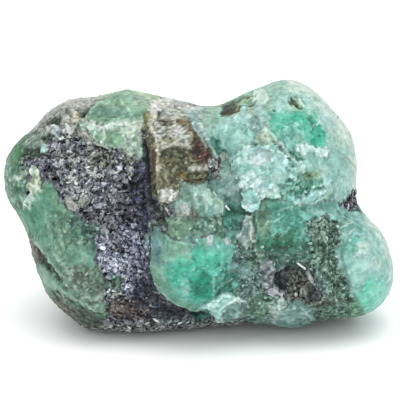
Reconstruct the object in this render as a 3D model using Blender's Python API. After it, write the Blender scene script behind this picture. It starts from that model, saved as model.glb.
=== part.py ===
"""A raw emerald: a worn lump of green emerald masses grown together in dark mica schist.

The stone is modelled face on: x runs to the right, z up and -y towards the viewer, in millimetres.
The finished stone then leans back on its lower edge, where it is worn flat enough to stand.
"""

import math

import bmesh
import bpy
import numpy as np
from mathutils import Vector, noise

MM = 0.001

# Driving dimensions of the whole stone, in millimetres and degrees.
FRONT_DEPTH = 11.4
BACK_DEPTH = 11.6
SECTION_POWER = 2.4
LEAN_BACK = 20.0
BASE_WEAR = 0.7
FACE_CENTRE = (0.0, -0.5)
CELLS_ACROSS = 40
CELLS_UP = 30
CELLS_DEEP = 12

# The share of the depth over which lumps and hollows fade out towards the edge of the face.
RELIEF_FADE = 0.35

# Unevenness of the worn skin: its height, and the size of its swells.
SKIN_RISE = 0.16
SKIN_SWELL = 2.3

# The edge of the stone seen face on, clockwise from its left end.
FACE_OUTLINE = (
    (-24.4, 3.8), (-24.1, 5.7), (-23.1, 7.4), (-21.2, 9.3), (-18.8, 11.9), (-16.2, 13.2),
    (-12.5, 13.7), (-9.0, 14.4), (-6.2, 13.9), (-2.5, 13.1), (0.9, 12.4), (3.8, 13.1),
    (6.2, 14.2), (8.8, 15.3), (11.2, 15.8), (13.8, 14.7), (16.2, 12.4), (18.8, 9.1),
    (19.6, 5.1), (19.5, 2.6), (20.1, -0.6), (22.5, -2.9), (23.8, -5.8), (24.2, -8.3),
    (23.6, -10.9), (22.0, -12.9), (19.4, -13.9), (15.0, -14.3), (11.9, -15.1), (8.8, -14.8),
    (6.2, -14.6), (1.2, -15.1), (-3.8, -15.5), (-7.5, -15.8), (-13.8, -15.4), (-16.2, -13.9),
    (-18.6, -11.6), (-19.9, -8.9), (-20.9, -6.4), (-21.6, -3.3), (-23.0, -0.6), (-24.1, 1.9),
)

# Lumps and hollows: x, z, half width, half height, turn in degrees, rise (a hollow is negative).
FRONT_LUMPS = {
    "upper right mass": (11.0, 8.0, 9.5, 8.0, -20, 1.5),
    "upper middle lump": (3.4, 9.6, 4.0, 3.6, 0, 1.0),
    "green shoulder": (13.0, 9.5, 4.5, 4.0, 0, 0.6),
    "pale plate": (8.4, 3.4, 5.2, 4.0, 0, 0.7),
    "green step": (10.6, -2.2, 4.4, 3.4, 0, 0.7),
    "right lobe": (20.6, -8.2, 4.6, 7.6, -10, 1.3),
    "round emerald": (-1.3, -8.0, 5.6, 5.6, 10, 2.4),
    "olive lump": (-2.8, -2.8, 2.6, 2.0, 0, 0.9),
    "grey-green lump": (-0.5, 0.9, 3.0, 2.6, 0, 0.9),
    "middle lump": (2.2, -1.0, 2.2, 2.6, 20, 0.6),
    "lower left emerald": (-16.6, -6.6, 5.6, 9.0, 15, 1.4),
    "left end": (-21.6, 3.6, 3.6, 4.6, 0, 0.7),
    "jagged pale piece": (-10.4, 8.6, 4.4, 3.0, -15, 0.9),
    "top left emerald": (-9.6, 12.2, 4.6, 2.4, 0, 0.7),
    "bottom right lumps": (11.6, -13.2, 3.4, 2.4, 0, 0.8),
    "dark valley": (4.4, -1.9, 2.0, 3.2, 10, -1.3),
    "brown hollow": (-5.2, -1.4, 1.6, 2.8, 0, -1.1),
    "granular hollow": (5.6, -8.4, 3.0, 4.6, 0, -0.9),
    "olive slope": (15.8, -7.2, 3.4, 6.4, 10, -0.7),
    "dark corner": (18.6, 0.6, 2.6, 2.6, 0, -0.7),
    "top right pits": (12.0, 12.4, 1.8, 1.4, 0, -0.6),
}

BACK_LUMPS = {
    "back right mass": (11.5, 4.5, 11.0, 10.5, 25, 2.0),
    "back left mass": (-14.5, -3.0, 8.5, 10.0, -20, 1.5),
    "back middle lump": (0.5, -7.5, 6.0, 6.4, 0, 1.7),
    "back upper lump": (-10.0, 8.2, 6.0, 4.2, 20, 1.1),
    "back lower lobe": (17.5, -9.0, 5.6, 5.2, 0, 1.2),
    "back hollow": (3.2, 4.4, 3.0, 4.2, 15, -1.5),
    "back pocket": (-6.6, -11.2, 3.0, 2.2, 0, -1.1),
}

# Valleys and ridges: half width, rise, then the points that they run through.
FRONT_RUNS = {
    "schist band": (4.2, -1.3, (-14.0, 8.0), (-12.5, 3.5), (-10.5, -3.0), (-9.5, -11.0)),
    "cleft beside the prism": (2.3, -1.2, (-8.0, 8.0), (-8.0, 4.0), (-7.6, -2.0), (-7.4, -8.0)),
    "cleft under the round emerald": (2.2, -0.9, (-7.2, -9.5), (-4.6, -13.0), (0.2, -14.0)),
    "notch of the upper edge": (2.2, -0.9, (0.8, 13.0), (1.2, 9.0), (2.4, 4.5)),
    "ledge under the pale plate": (2.0, -0.8, (3.5, 2.0), (6.0, -0.9), (12.0, -0.2), (15.6, 0.4)),
    "cleft of the right lobe": (2.1, -0.7, (17.6, -2.6), (17.0, -7.0), (18.6, -11.8)),
    "ridge of the lower left": (2.0, 0.7, (-20.6, -4.6), (-18.0, -7.2), (-16.6, -10.6)),
    "ridge of the upper right": (2.0, 0.6, (7.0, 9.0), (9.4, 8.2), (11.2, 5.2), (12.6, 4.2)),
}

BACK_RUNS = {
    "back schist band": (4.6, -1.4, (-7.5, 12.0), (-5.0, 4.0), (-6.0, -4.0), (-9.0, -13.0)),
    "back cleft": (2.6, -1.0, (2.4, 12.0), (5.0, 1.5), (12.0, -5.0), (19.0, -4.5)),
}

# The brown prism: its sides seen face on, then its front, top and left faces. A face is the x and z
# of a point on it, how far that point stands proud of the skin, and its outward normal.
BROWN_PRISM_SIDES = (
    (-6.7, 9.4), (-5.6, 11.0), (-2.7, 11.3), (-1.4, 10.2), (0.2, 8.4), (1.7, 5.8),
    (1.1, 3.4), (-2.5, 3.0), (-2.8, 0.8), (-5.2, 0.4), (-6.5, 2.0),
)
BROWN_PRISM_FACES = (
    (-2.0, 4.4, 1.2, (0.14, -1.0, 0.26)),
    (-3.0, 8.8, 1.4, (-0.05, -1.0, 1.25)),
    (-5.6, 4.4, 1.1, (-1.5, -1.0, 0.0)),
)

# The pale block low on the front.
PALE_BLOCK_SIDES = (
    (0.2, -13.2), (1.2, -12.2), (1.9, -11.2), (2.8, -10.6), (4.4, -10.9), (5.8, -11.8),
    (5.6, -13.0), (4.8, -13.9), (2.4, -14.0),
)
PALE_BLOCK_FACES = (
    (3.0, -12.2, 0.8, (0.0, -1.0, -1.0)),
    (3.0, -11.2, 0.9, (-0.1, -1.0, 0.9)),
    (5.0, -12.4, 0.6, (1.2, -1.0, -0.7)),
)

# Where the blocks end inside the stone, in front of its middle plane.
BURIED_END = 3.0

# A hexagonal emerald on the back, worn down almost to the skin: x, z and how far it stands proud.
HEXAGON_PLACE = (10.5, 4.0, 0.35)
HEXAGON_ACROSS = 8.0
HEXAGON_LONG = 6.0

# Pits: x and z of the middle, how deep that lies under the skin, then half width, depth and height.
PITS = {
    "deep_pit": (11.9, -9.1, 0.2, 2.9, 2.7, 2.1),
    "low_cavity": (0.1, -13.6, 0.2, 1.5, 1.6, 0.8),
}
BACK_PITS = {
    "back_pit": (-1.0, 9.2, 0.0, 2.2, 1.9, 1.6),
}
PIT_ROUGHNESS = 0.22

FRONT = (FRONT_DEPTH, FRONT_LUMPS, FRONT_RUNS)
BACK = (BACK_DEPTH, BACK_LUMPS, BACK_RUNS)

# The schist that shows on the front, as closed outlines.
SCHIST_FRONT = (
    (
        (-18.8, 8.2), (-13.8, 8.4), (-9.4, 6.0), (-7.0, 5.6), (-6.2, 0.6), (-6.2, -5.0),
        (-6.0, -9.4), (-4.2, -11.6), (0.0, -14.0), (0.0, -16.5), (-12.0, -16.5), (-11.4, -10.4),
        (-12.4, -6.8), (-12.8, -3.8), (-14.8, -0.6), (-17.4, 1.6), (-19.4, 3.4),
    ),
    (
        (13.4, -1.8), (17.4, -1.6), (17.6, -9.0), (20.0, -12.6), (17.0, -14.6), (3.6, -12.0),
        (3.6, -5.4), (9.0, -7.4), (12.6, -6.6),
    ),
)
SCHIST_BACK_HALF_WIDTH = 3.2

# Base colour, roughness, for each thing that the stone is made of.
MATERIALS = {
    "emerald": ((0.27, 0.58, 0.46, 1.0), 0.42),
    "mica_schist": ((0.13, 0.13, 0.16, 1.0), 0.6),
    "brown_crystal": ((0.30, 0.21, 0.10, 1.0), 0.5),
    "pale_quartz": ((0.62, 0.78, 0.72, 1.0), 0.4),
}
FACETED_ABOVE = math.radians(38)


def clear_scene():
    for obj in list(bpy.data.objects):
        bpy.data.objects.remove(obj, do_unlink=True)


def new_collection(name):
    collection = bpy.data.collections.new(name)
    bpy.context.scene.collection.children.link(collection)
    return collection


def make_materials():
    """One Principled material for each entry of MATERIALS."""
    for name, (colour, roughness) in MATERIALS.items():
        material = bpy.data.materials.new(name)
        material.diffuse_color = colour
        material.use_nodes = True
        surface = material.node_tree.nodes["Principled BSDF"]
        surface.inputs["Base Color"].default_value = colour
        surface.inputs["Roughness"].default_value = roughness


def closed_curve(points, steps=10):
    """A smooth closed curve through the points (Catmull-Rom)."""
    here = np.array(points, float)[:, None]
    before = np.roll(here, 1, axis=0)
    ahead = np.roll(here, -1, axis=0)
    beyond = np.roll(here, -2, axis=0)
    t = (np.arange(steps) / steps)[None, :, None]
    curve = here + 0.5 * t * (ahead - before)
    curve = curve + 0.5 * t**2 * (2 * before - 5 * here + 4 * ahead - beyond)
    curve = curve + 0.5 * t**3 * (3 * here - before - 3 * ahead + beyond)
    return curve.reshape(-1, 2)


def edge_reach(angle):
    """How far the stone's edge is from the middle of its face in each direction."""
    outline = closed_curve(FACE_OUTLINE) - np.array(FACE_CENTRE)
    around = np.arctan2(outline[:, 1], outline[:, 0])
    reach = np.hypot(outline[:, 0], outline[:, 1])
    return np.interp(angle, around, reach, period=2 * math.pi)


def lump_rise(x, z, lump):
    """Height of one soft-edged lump over the points of the face."""
    middle_x, middle_z, half_width, half_height, turn, rise = lump
    cos = math.cos(math.radians(turn))
    sin = math.sin(math.radians(turn))
    along = (x - middle_x) * cos + (z - middle_z) * sin
    over = (z - middle_z) * cos - (x - middle_x) * sin
    inside = np.clip(1 - (along / half_width) ** 2 - (over / half_height) ** 2, 0, 1)
    return rise * inside**1.4


def distance_to_run(x, z, points):
    """Distance from each point of the face to a broken line."""
    nearest = np.full(x.shape, np.inf)
    for (x0, z0), (x1, z1) in zip(points, points[1:]):
        long = np.hypot(x1 - x0, z1 - z0)
        along = ((x - x0) * (x1 - x0) + (z - z0) * (z1 - z0)) / long**2
        along = np.clip(along, 0, 1)
        away = np.hypot(x - x0 - along * (x1 - x0), z - z0 - along * (z1 - z0))
        nearest = np.minimum(nearest, away)
    return nearest


def run_rise(x, z, run):
    """Height of one ridge, or depth of one valley, over the points of the face."""
    half_width, rise, *points = run
    inside = np.clip(1 - (distance_to_run(x, z, points) / half_width) ** 2, 0, 1)
    return rise * inside**1.5


def relief(x, z, lumps, runs):
    height = np.zeros_like(x)
    for lump in lumps.values():
        height = height + lump_rise(x, z, lump)
    for run in runs.values():
        height = height + run_rise(x, z, run)
    return height


def skin_unevenness(points):
    """Slow swells of the worn skin, from Blender's own noise."""
    return np.array([noise.noise(Vector(p) / SKIN_SWELL) for p in points]) * SKIN_RISE


def skin_depth(x, z, side):
    """How far the skin is from the middle plane of the stone, over the points of the face."""
    depth, lumps, runs = side
    away_x = x - FACE_CENTRE[0]
    away_z = z - FACE_CENTRE[1]
    out = np.hypot(away_x, away_z) / edge_reach(np.arctan2(away_z, away_x))
    outward = np.clip(1 - np.minimum(out, 1) ** SECTION_POWER, 0, 1) ** (1 / SECTION_POWER)
    facing = np.clip(outward / RELIEF_FADE, 0, 1)
    facing = facing * facing * (3 - 2 * facing)
    return depth * outward + facing * relief(x, z, lumps, runs)


def stone_points(ball):
    """Moves the points of a unit ball onto the stone."""
    x, y, z = ball.T
    flat = np.hypot(x, z)
    boxy = (flat**SECTION_POWER + np.abs(y) ** SECTION_POWER) ** (-1 / SECTION_POWER)
    angle = np.arctan2(z, x)
    reach = edge_reach(angle) * flat * boxy
    across = FACE_CENTRE[0] + reach * np.cos(angle)
    up = FACE_CENTRE[1] + reach * np.sin(angle)
    deep = np.where(y < 0, -skin_depth(across, up, FRONT), skin_depth(across, up, BACK))
    points = np.stack([across, deep, up], axis=1)
    return points + ball * skin_unevenness(points)[:, None]


def point_on_skin(x, z, proud, side=None):
    """A point of the front or back, so far proud of the skin or, if negative, under it."""
    side = side or FRONT
    out = float(skin_depth(np.array([x]), np.array([z]), side)[0]) + proud
    return Vector((x, -out if side is FRONT else out, z))


def back_outward(x, z, step=1.5):
    """Direction that the back of the stone faces at a point, from the skin a step to each side."""
    centre = point_on_skin(x, z, 0, BACK)
    across = point_on_skin(x + step, z, 0, BACK) - centre
    up = point_on_skin(x, z + step, 0, BACK) - centre
    return up.cross(across).normalized()


def ball_of_quads():
    """A cube cut into a grid on every side, then blown up into a unit ball."""
    ball = bmesh.new()
    bmesh.ops.create_cube(ball, size=2.0)
    for axis, cells in enumerate((CELLS_ACROSS, CELLS_DEEP, CELLS_UP)):
        along = [
            edge for edge in ball.edges
            if abs(edge.verts[0].co[axis] - edge.verts[1].co[axis]) > 1.0
        ]
        bmesh.ops.subdivide_edges(ball, edges=along, cuts=cells - 1, use_grid_fill=True)
    for vert in ball.verts:
        spread = Vector(math.tan(c * math.pi / 4) for c in vert.co)
        vert.co = spread.normalized()
    return ball


def inside_outline(x, z, outline):
    """True where a point of the face is inside a closed outline."""
    inside = False
    for (x0, z0), (x1, z1) in zip(outline, outline[1:] + outline[:1]):
        if (z0 > z) != (z1 > z) and x < x0 + (z - z0) / (z1 - z0) * (x1 - x0):
            inside = not inside
    return inside


def is_schist(middle):
    """Whether the schist shows at this point of the skin."""
    x, y, z = middle
    if y < 0:
        return any(inside_outline(x, z, outline) for outline in SCHIST_FRONT)
    run = BACK_RUNS["back schist band"][2:]
    away = distance_to_run(np.array([x]), np.array([z]), run)[0]
    return away < SCHIST_BACK_HALF_WIDTH


def make_stone(collection):
    """The worn body, before its crystals are joined on and its pits are cut."""
    ball = ball_of_quads()
    mesh = bpy.data.meshes.new("raw_emerald")
    ball.to_mesh(mesh)
    ball.free()
    flat = np.empty(len(mesh.vertices) * 3)
    mesh.vertices.foreach_get("co", flat)
    points = stone_points(flat.reshape(-1, 3))
    mesh.vertices.foreach_set("co", (points * MM).ravel())
    for name in MATERIALS:
        mesh.materials.append(bpy.data.materials[name])
    for face in mesh.polygons:
        if is_schist(face.center / MM):
            face.material_index = list(MATERIALS).index("mica_schist")
    mesh.shade_smooth()
    mesh.set_sharp_from_angle(angle=FACETED_ABOVE)
    stone = bpy.data.objects.new("raw_emerald", mesh)
    collection.objects.link(stone)
    return stone


def helper_object(name, shape, material, collection):
    """An object that is joined to the stone or cut from it, and isn't itself shown."""
    mesh = bpy.data.meshes.new(name)
    bmesh.ops.recalc_face_normals(shape, faces=shape.faces)
    shape.to_mesh(mesh)
    shape.free()
    for each in MATERIALS:
        mesh.materials.append(bpy.data.materials[each])
    for face in mesh.polygons:
        face.material_index = list(MATERIALS).index(material)
    helper = bpy.data.objects.new(name, mesh)
    helper.hide_render = True
    helper.display_type = "WIRE"
    collection.objects.link(helper)
    return helper


def cut_flat(shape, place, normal):
    """Takes off what lies outside a plane, and closes the cut."""
    cut = bmesh.ops.bisect_plane(
        shape,
        geom=shape.verts[:] + shape.edges[:] + shape.faces[:],
        plane_co=place * MM,
        plane_no=Vector(normal),
        clear_outer=True,
    )
    edges = [item for item in cut["geom_cut"] if isinstance(item, bmesh.types.BMEdge)]
    bmesh.ops.holes_fill(shape, edges=edges, sides=0)


def crystal_block(sides, faces):
    """An outline drawn on the face and extruded through the skin, with flat faces cut on its front."""
    shape = bmesh.new()
    ring = [shape.verts.new(Vector((x, -BURIED_END, z)) * MM) for x, z in sides]
    floor = shape.faces.new(ring)
    pushed = bmesh.ops.extrude_face_region(shape, geom=[floor])
    top = [item for item in pushed["geom"] if isinstance(item, bmesh.types.BMVert)]
    reach = Vector((0, BURIED_END - 2 * FRONT_DEPTH, 0)) * MM
    bmesh.ops.translate(shape, verts=top, vec=reach)
    for x, z, proud, normal in faces:
        cut_flat(shape, point_on_skin(x, z, proud), normal)
    return shape


def hexagonal_crystal():
    """A six-sided prism with a flat end."""
    shape = bmesh.new()
    bmesh.ops.create_cone(
        shape,
        cap_ends=True,
        segments=6,
        radius1=HEXAGON_ACROSS / 2 * MM,
        radius2=HEXAGON_ACROSS / 2 * MM,
        depth=HEXAGON_LONG * MM,
    )
    return shape


def rough_pit(pit, side):
    """A lumpy hollow, as its own solid to cut with."""
    x, z, under, half_width, half_depth, half_height = pit
    middle = point_on_skin(x, z, -under, side)
    shape = bmesh.new()
    bmesh.ops.create_icosphere(shape, subdivisions=3, radius=1.0)
    for vert in shape.verts:
        swell = 1 + PIT_ROUGHNESS * noise.noise(vert.co * 1.7 + middle)
        size = Vector((half_width, half_depth, half_height)) * swell
        vert.co = (middle + size * vert.co) * MM
    return shape


def ground_block():
    """The block that wears the stone flat where it stands: its top is the ground."""
    shape = bmesh.new()
    bmesh.ops.create_cube(shape, size=200 * MM)
    bmesh.ops.translate(shape, verts=shape.verts, vec=(0, 0, -100 * MM))
    return shape


def combine(stone, helper, operation):
    boolean = stone.modifiers.new(helper.name, "BOOLEAN")
    boolean.operation = operation
    boolean.solver = "EXACT"
    boolean.object = helper


def world_corners(obj):
    """Lowest and highest corner of an object as its modifiers leave it, in metres."""
    graph = bpy.context.evaluated_depsgraph_get()
    evaluated = obj.evaluated_get(graph)
    mesh = evaluated.to_mesh()
    points = np.array([evaluated.matrix_world @ vert.co for vert in mesh.vertices])
    evaluated.to_mesh_clear()
    return points.min(axis=0), points.max(axis=0)


def add_crystals(stone, helpers):
    """Joins on the flat-faced crystals that stand proud of the skin."""
    prism = crystal_block(BROWN_PRISM_SIDES, BROWN_PRISM_FACES)
    block = crystal_block(PALE_BLOCK_SIDES, PALE_BLOCK_FACES)
    combine(stone, helper_object("brown_prism", prism, "brown_crystal", helpers), "UNION")
    combine(stone, helper_object("pale_block", block, "pale_quartz", helpers), "UNION")
    x, z, proud = HEXAGON_PLACE
    hexagon = helper_object("back_hexagon", hexagonal_crystal(), "emerald", helpers)
    outward = back_outward(x, z)
    sunk = HEXAGON_LONG / 2 - proud
    hexagon.location = (point_on_skin(x, z, 0, BACK) - outward * sunk) * MM
    hexagon.rotation_euler = outward.to_track_quat("Z", "X").to_euler()
    combine(stone, hexagon, "UNION")


def cut_pits(stone, helpers):
    for side, pits in ((FRONT, PITS), (BACK, BACK_PITS)):
        for name, pit in pits.items():
            cutter = helper_object(name, rough_pit(pit, side), "mica_schist", helpers)
            combine(stone, cutter, "DIFFERENCE")


def stand_on_ground(stone, helpers):
    """Leans the stone back, wears its lower edge flat and centres it over the origin."""
    lean = bpy.data.objects.new("lean_back", None)
    bpy.context.scene.collection.objects.link(lean)
    for obj in (stone, *helpers.objects):
        obj.parent = lean
    lean.rotation_euler.x = -math.radians(LEAN_BACK)
    bpy.context.view_layer.update()
    low, _ = world_corners(stone)
    lean.location.z = -low[2] - BASE_WEAR * MM
    combine(stone, helper_object("ground", ground_block(), "emerald", helpers), "DIFFERENCE")
    bpy.context.view_layer.update()
    low, high = world_corners(stone)
    lean.location.x -= (low[0] + high[0]) / 2
    lean.location.y -= (low[1] + high[1]) / 2
    bpy.context.view_layer.update()


def build():
    clear_scene()
    make_materials()
    stones = new_collection("raw_emerald")
    helpers = new_collection("helpers")
    stone = make_stone(stones)
    add_crystals(stone, helpers)
    cut_pits(stone, helpers)
    stand_on_ground(stone, helpers)


build()
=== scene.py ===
"""Looks of the raw emerald: a worn lump of green emerald masses grown together in dark mica schist.

The skin of the stone is a fine mesh grown from the CAD solid. It is described face on, in the pixels
of the 400 x 400 view, one pixel being 0.125 mm: named patches give what shows where, named lines
give the ridges, clefts and veins. Mica flakes, grains and crystal chips are meshes of their own.
"""

import functools
import itertools
import math

import bmesh
import bpy
import numpy as np
from mathutils import Matrix, Vector
from mathutils.bvhtree import BVHTree
from mathutils.geometry import delaunay_2d_cdt


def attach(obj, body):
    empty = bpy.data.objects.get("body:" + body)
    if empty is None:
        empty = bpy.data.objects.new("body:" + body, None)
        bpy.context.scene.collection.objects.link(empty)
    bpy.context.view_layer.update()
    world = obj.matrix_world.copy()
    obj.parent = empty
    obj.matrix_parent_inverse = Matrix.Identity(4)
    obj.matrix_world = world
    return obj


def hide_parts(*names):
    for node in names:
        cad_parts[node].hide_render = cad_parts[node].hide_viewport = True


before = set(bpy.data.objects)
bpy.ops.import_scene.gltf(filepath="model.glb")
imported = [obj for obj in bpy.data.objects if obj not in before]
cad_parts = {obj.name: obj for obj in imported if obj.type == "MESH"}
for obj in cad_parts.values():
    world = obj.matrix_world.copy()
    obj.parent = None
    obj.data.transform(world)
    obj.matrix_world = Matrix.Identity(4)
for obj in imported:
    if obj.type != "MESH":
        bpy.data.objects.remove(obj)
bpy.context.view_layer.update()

MM = 0.001
NODE = "raw_emerald"

# The stone's face leans back by this angle, about a point this far from the frame's origin, in mm.
LEAN_BACK = math.radians(20)
FACE_ORIGIN = np.array((0.10, 0.09, 14.89))
LEAN = np.array(Matrix.Rotation(-LEAN_BACK, 3, "X"))
TO_VIEWER = LEAN @ np.array((0.0, -1.0, 0.0))

# One pixel of the view on the stone, in mm, how many there are across it, and the pixel of the
# middle of the face.
PIXEL = 0.125
VIEW = 400
FACE_PIXEL = (200.0, 205.5)

# The studio light is brighter than white paper needs, so that the floor comes out white.
STUDIO_SHARE = 0.62
# Needles are tinted lighter than the rest of the stone, as painted highlight.
ROD_HIGHLIGHT_SHARE = 0.9

# The skin's mesh, in mm, how many times it is smoothed, and how much of that the flat-faced
# crystals get.
SKIN_CELL = 0.18
SKIN_SMOOTHINGS = 24
CRISP_SMOOTHING = 0.25
CRISP_PATCHES = ("prism", "block", "pit")

# The skin is two meshes, which meet at this depth behind the middle plane, in mm.
HALF_DEPTH = 0.0

# Patches of the front reach round the sides to this depth behind the middle plane, unevenly, in mm.
FRONT_REACH = 2.0
FRONT_REACH_UNEVEN = 2.5

# Half the width of the core that the sides are unrolled from, the depth where that starts, in mm,
# and how many pixels it goes on outwards at most.
CORE = 12.0
EDGE_DEPTH = -0.4
UNROLLED = 13.0

# The skin near the floor stays flat: what stands on it fades in between these heights, in mm.
FLAT_FOOT = (0.05, 0.9)

# How far a ridge stands over its surroundings where it is rubbed fully, in mm, and how pale that is;
# crevices are made darker by the same amounts.
FULL_WEAR = 0.035
WEAR = 0.45

# A depth that is well before the stone, in mm, where lines of sight start.
BEFORE_STONE = -40.0

# Chips: the size of their facets, how unevenly those are cut and how far they keep from the rim, in
# pixels, and how deep a chip reaches into the skin, in mm.
CHIP_FACET = 2.2
CHIP_JITTER = 0.8
CHIP_MARGIN = 0.7
CHIP_ROOT = 0.45

# How much higher the far end of a needle stands than its near end, in mm.
ROD_TILT = 0.1

# The camera is far off and sees the face straight on: focal length and sensor in mm, reach in metres.
LENS = 500
SENSOR = 36
REACH = 20

# The room, in metres: the floor's radius, the point that the lamps aim at, then each lamp's place and
# width, with its power in watts, and the colour and strength of the light from all round.
FLOOR_RADIUS = 3.0
LAMP_AIM = Vector((0, 0, 0.015))
LAMPS = {
    "overhead": ((0.0, -0.10, 0.80), 0.90, 3.87),
    "front_fill": ((-0.10, -0.60, 0.30), 0.45, 0.65),
}
ROOM_COLOUR = (0.97, 0.99, 1.0, 1.0)
ROOM_STRENGTH = 1.05


# ---------------------------------------------------------------- numbers, noise and grains

def linear(code):
    """A colour written as six hex digits, as linear red, green and blue."""
    srgb = np.array([int(code[i:i + 2], 16) / 255 for i in (0, 2, 4)])
    return np.where(srgb <= 0.04045, srgb / 12.92, ((srgb + 0.055) / 1.055) ** 2.4)


def lit(code):
    """The same, allowing for the studio light."""
    return linear(code) * STUDIO_SHARE


def smooth(x, low, high):
    """Rises smoothly from 0 at low to 1 at high."""
    t = np.clip((x - low) / (high - low), 0, 1)
    return t * t * (3 - 2 * t)


def blend(a, b, share):
    """a where share is 0 and b where it is 1; share is one number a row."""
    share = np.asarray(share)[:, None] if np.ndim(a) == 2 or np.ndim(b) == 2 else share
    return a + (b - a) * share


def hashed(cells, seed):
    """A repeatable random number from 0 to 1 for each row of whole numbers."""
    mask = np.uint64(0xFFFFFFFF)
    h = np.uint64(0)
    for axis, multiplier in enumerate((73856093, 19349663, 83492791)):
        h = h ^ (((cells[:, axis].astype(np.uint64) & mask) * np.uint64(multiplier)) & mask)
    h = (h + np.uint64(seed * 2654435 + 977)) & mask
    for multiplier in (2246822519, 3266489917):
        h = h ^ (h >> np.uint64(15))
        h = (h * np.uint64(multiplier)) & mask
    h = h ^ (h >> np.uint64(16))
    return h.astype(float) / 4294967296.0


def soft_noise(points, size, seed):
    """Smooth noise from about -1 to 1, with swells of this size."""
    place = points / size
    low = np.floor(place).astype(np.int64)
    part = place - low
    ease = part**3 * (part * (part * 6 - 15) + 10)
    total = np.zeros(len(points))
    for corner in itertools.product((0, 1), repeat=3):
        weight = np.ones(len(points))
        lean = np.zeros(len(points))
        for axis, high in enumerate(corner):
            weight *= ease[:, axis] if high else 1 - ease[:, axis]
            slope = 2 * hashed(low + corner, seed + 11 * axis) - 1
            lean += slope * (part[:, axis] - high)
        total += weight * lean
    return total * 1.6


def rough_noise(points, size, seed, octaves=4, keep=0.55):
    """Noise with finer and finer swells laid over each other."""
    swells = (keep**i * soft_noise(points, size / 2**i, seed + 101 * i) for i in range(octaves))
    return sum(swells, np.zeros(len(points)))


def noise_pair(points, size, seed, octaves):
    """Two such noises side by side."""
    return np.stack([rough_noise(points, size, seed + i, octaves) for i in range(2)], axis=1)


def grains(points, size, seed):
    """The nearest grain to each point: offset from its middle, its cell, and the gap to the next."""
    place = points / size
    base = np.floor(place).astype(np.int64)
    nearest = np.full(len(points), np.inf)
    second = np.full(len(points), np.inf)
    offset = np.zeros((len(points), 3))
    cell = np.zeros((len(points), 3), np.int64)
    for step in itertools.product((-1, 0, 1), repeat=3):
        other = base + step
        jitter = np.stack([hashed(other, seed + axis) for axis in range(3)], axis=1)
        away = place - other - jitter
        distance = (away**2).sum(axis=1)
        closer = distance < nearest
        second = np.where(closer, nearest, np.minimum(second, distance))
        nearest = np.where(closer, distance, nearest)
        offset[closer] = away[closer]
        cell[closer] = other[closer]
    return offset * size, cell, (np.sqrt(second) - np.sqrt(nearest)) * size


def tone(tones, value):
    """Colour from three tones, dark to light, as value goes from 0 to 1."""
    dark, middle, light = map(lit, tones.split())
    low = np.clip(value * 2, 0, 1)[:, None]
    high = np.clip(value * 2 - 1, 0, 1)[:, None]
    return dark + (middle - dark) * low + (light - middle) * high


# ---------------------------------------------------------------- the face and its pixels

def to_face(points):
    """World metres to face millimetres: x right, y away from the viewer, z up."""
    return (np.asarray(points) / MM - FACE_ORIGIN) @ LEAN


def to_world(points):
    return (np.asarray(points) @ LEAN.T + FACE_ORIGIN) * MM


def pixels_of(points):
    """Where face points show in the view, seen face on."""
    return FACE_PIXEL[0] + points[:, 0] / PIXEL, FACE_PIXEL[1] - points[:, 2] / PIXEL


def from_piece(x, y, start, end):
    """Distance of each point from a straight piece of line, and how far along it, from 0 to 1."""
    (x0, y0), (x1, y1) = start, end
    run, fall = x1 - x0, y1 - y0
    along = np.clip(((x - x0) * run + (y - y0) * fall) / (run * run + fall * fall), 0, 1)
    return np.hypot(x - x0 - along * run, y - y0 - along * fall), along


def outline_depth(x, y, outline):
    """How far each point is inside a closed outline, in pixels; negative outside."""
    nearest = np.full(x.shape, np.inf)
    inside = np.zeros(x.shape, bool)
    for start, end in zip(outline, outline[1:] + outline[:1]):
        nearest = np.minimum(nearest, from_piece(x, y, start, end)[0])
        (x0, y0), (x1, y1) = start, end
        if y1 != y0:
            inside ^= ((y0 > y) != (y1 > y)) & (x < x0 + (y - y0) * (x1 - x0) / (y1 - y0))
    return np.where(inside, nearest, -nearest)


def line_distance(x, y, points):
    """Distance in pixels from a broken line, and how far along it, from 0 to 1."""
    nearest = np.full(x.shape, np.inf)
    position = np.zeros(x.shape)
    for i, (start, end) in enumerate(zip(points, points[1:])):
        away, along = from_piece(x, y, start, end)
        position = np.where(away < nearest, (i + along) / (len(points) - 1), position)
        nearest = np.minimum(nearest, away)
    return nearest, position


def places(text):
    """Pixel places written as x,y pairs, or an oval: its middle, half width and height, and turn."""
    words = [tuple(map(float, word.split(","))) for word in text.replace("oval", "").split()]
    if not text.startswith("oval"):
        return words
    (x, y), (wide, high), (turn,) = words
    across, down = math.cos(math.radians(turn)), math.sin(math.radians(turn))
    rim = [(wide * math.cos(i * math.pi / 8), high * math.sin(i * math.pi / 8)) for i in range(16)]
    return [(x + a * across - b * down, y + a * down + b * across) for a, b in rim]


def unrolled(points, depth):
    """Pixels of points at this depth behind the face, moved on outwards past the edge of the stone."""
    across, down = pixels_of(points)
    out = points[:, [0, 2]] - np.stack([np.clip(points[:, 0], -CORE, CORE), 0 * across], axis=1)
    out /= np.maximum(np.linalg.norm(out, axis=1), 0.1)[:, None]
    on = UNROLLED * (1 - np.exp(-np.maximum(depth - EDGE_DEPTH, 0) / PIXEL / UNROLLED))
    return across + out[:, 0] * on, down - out[:, 1] * on


# ---------------------------------------------------------------- what the stone is made of

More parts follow.
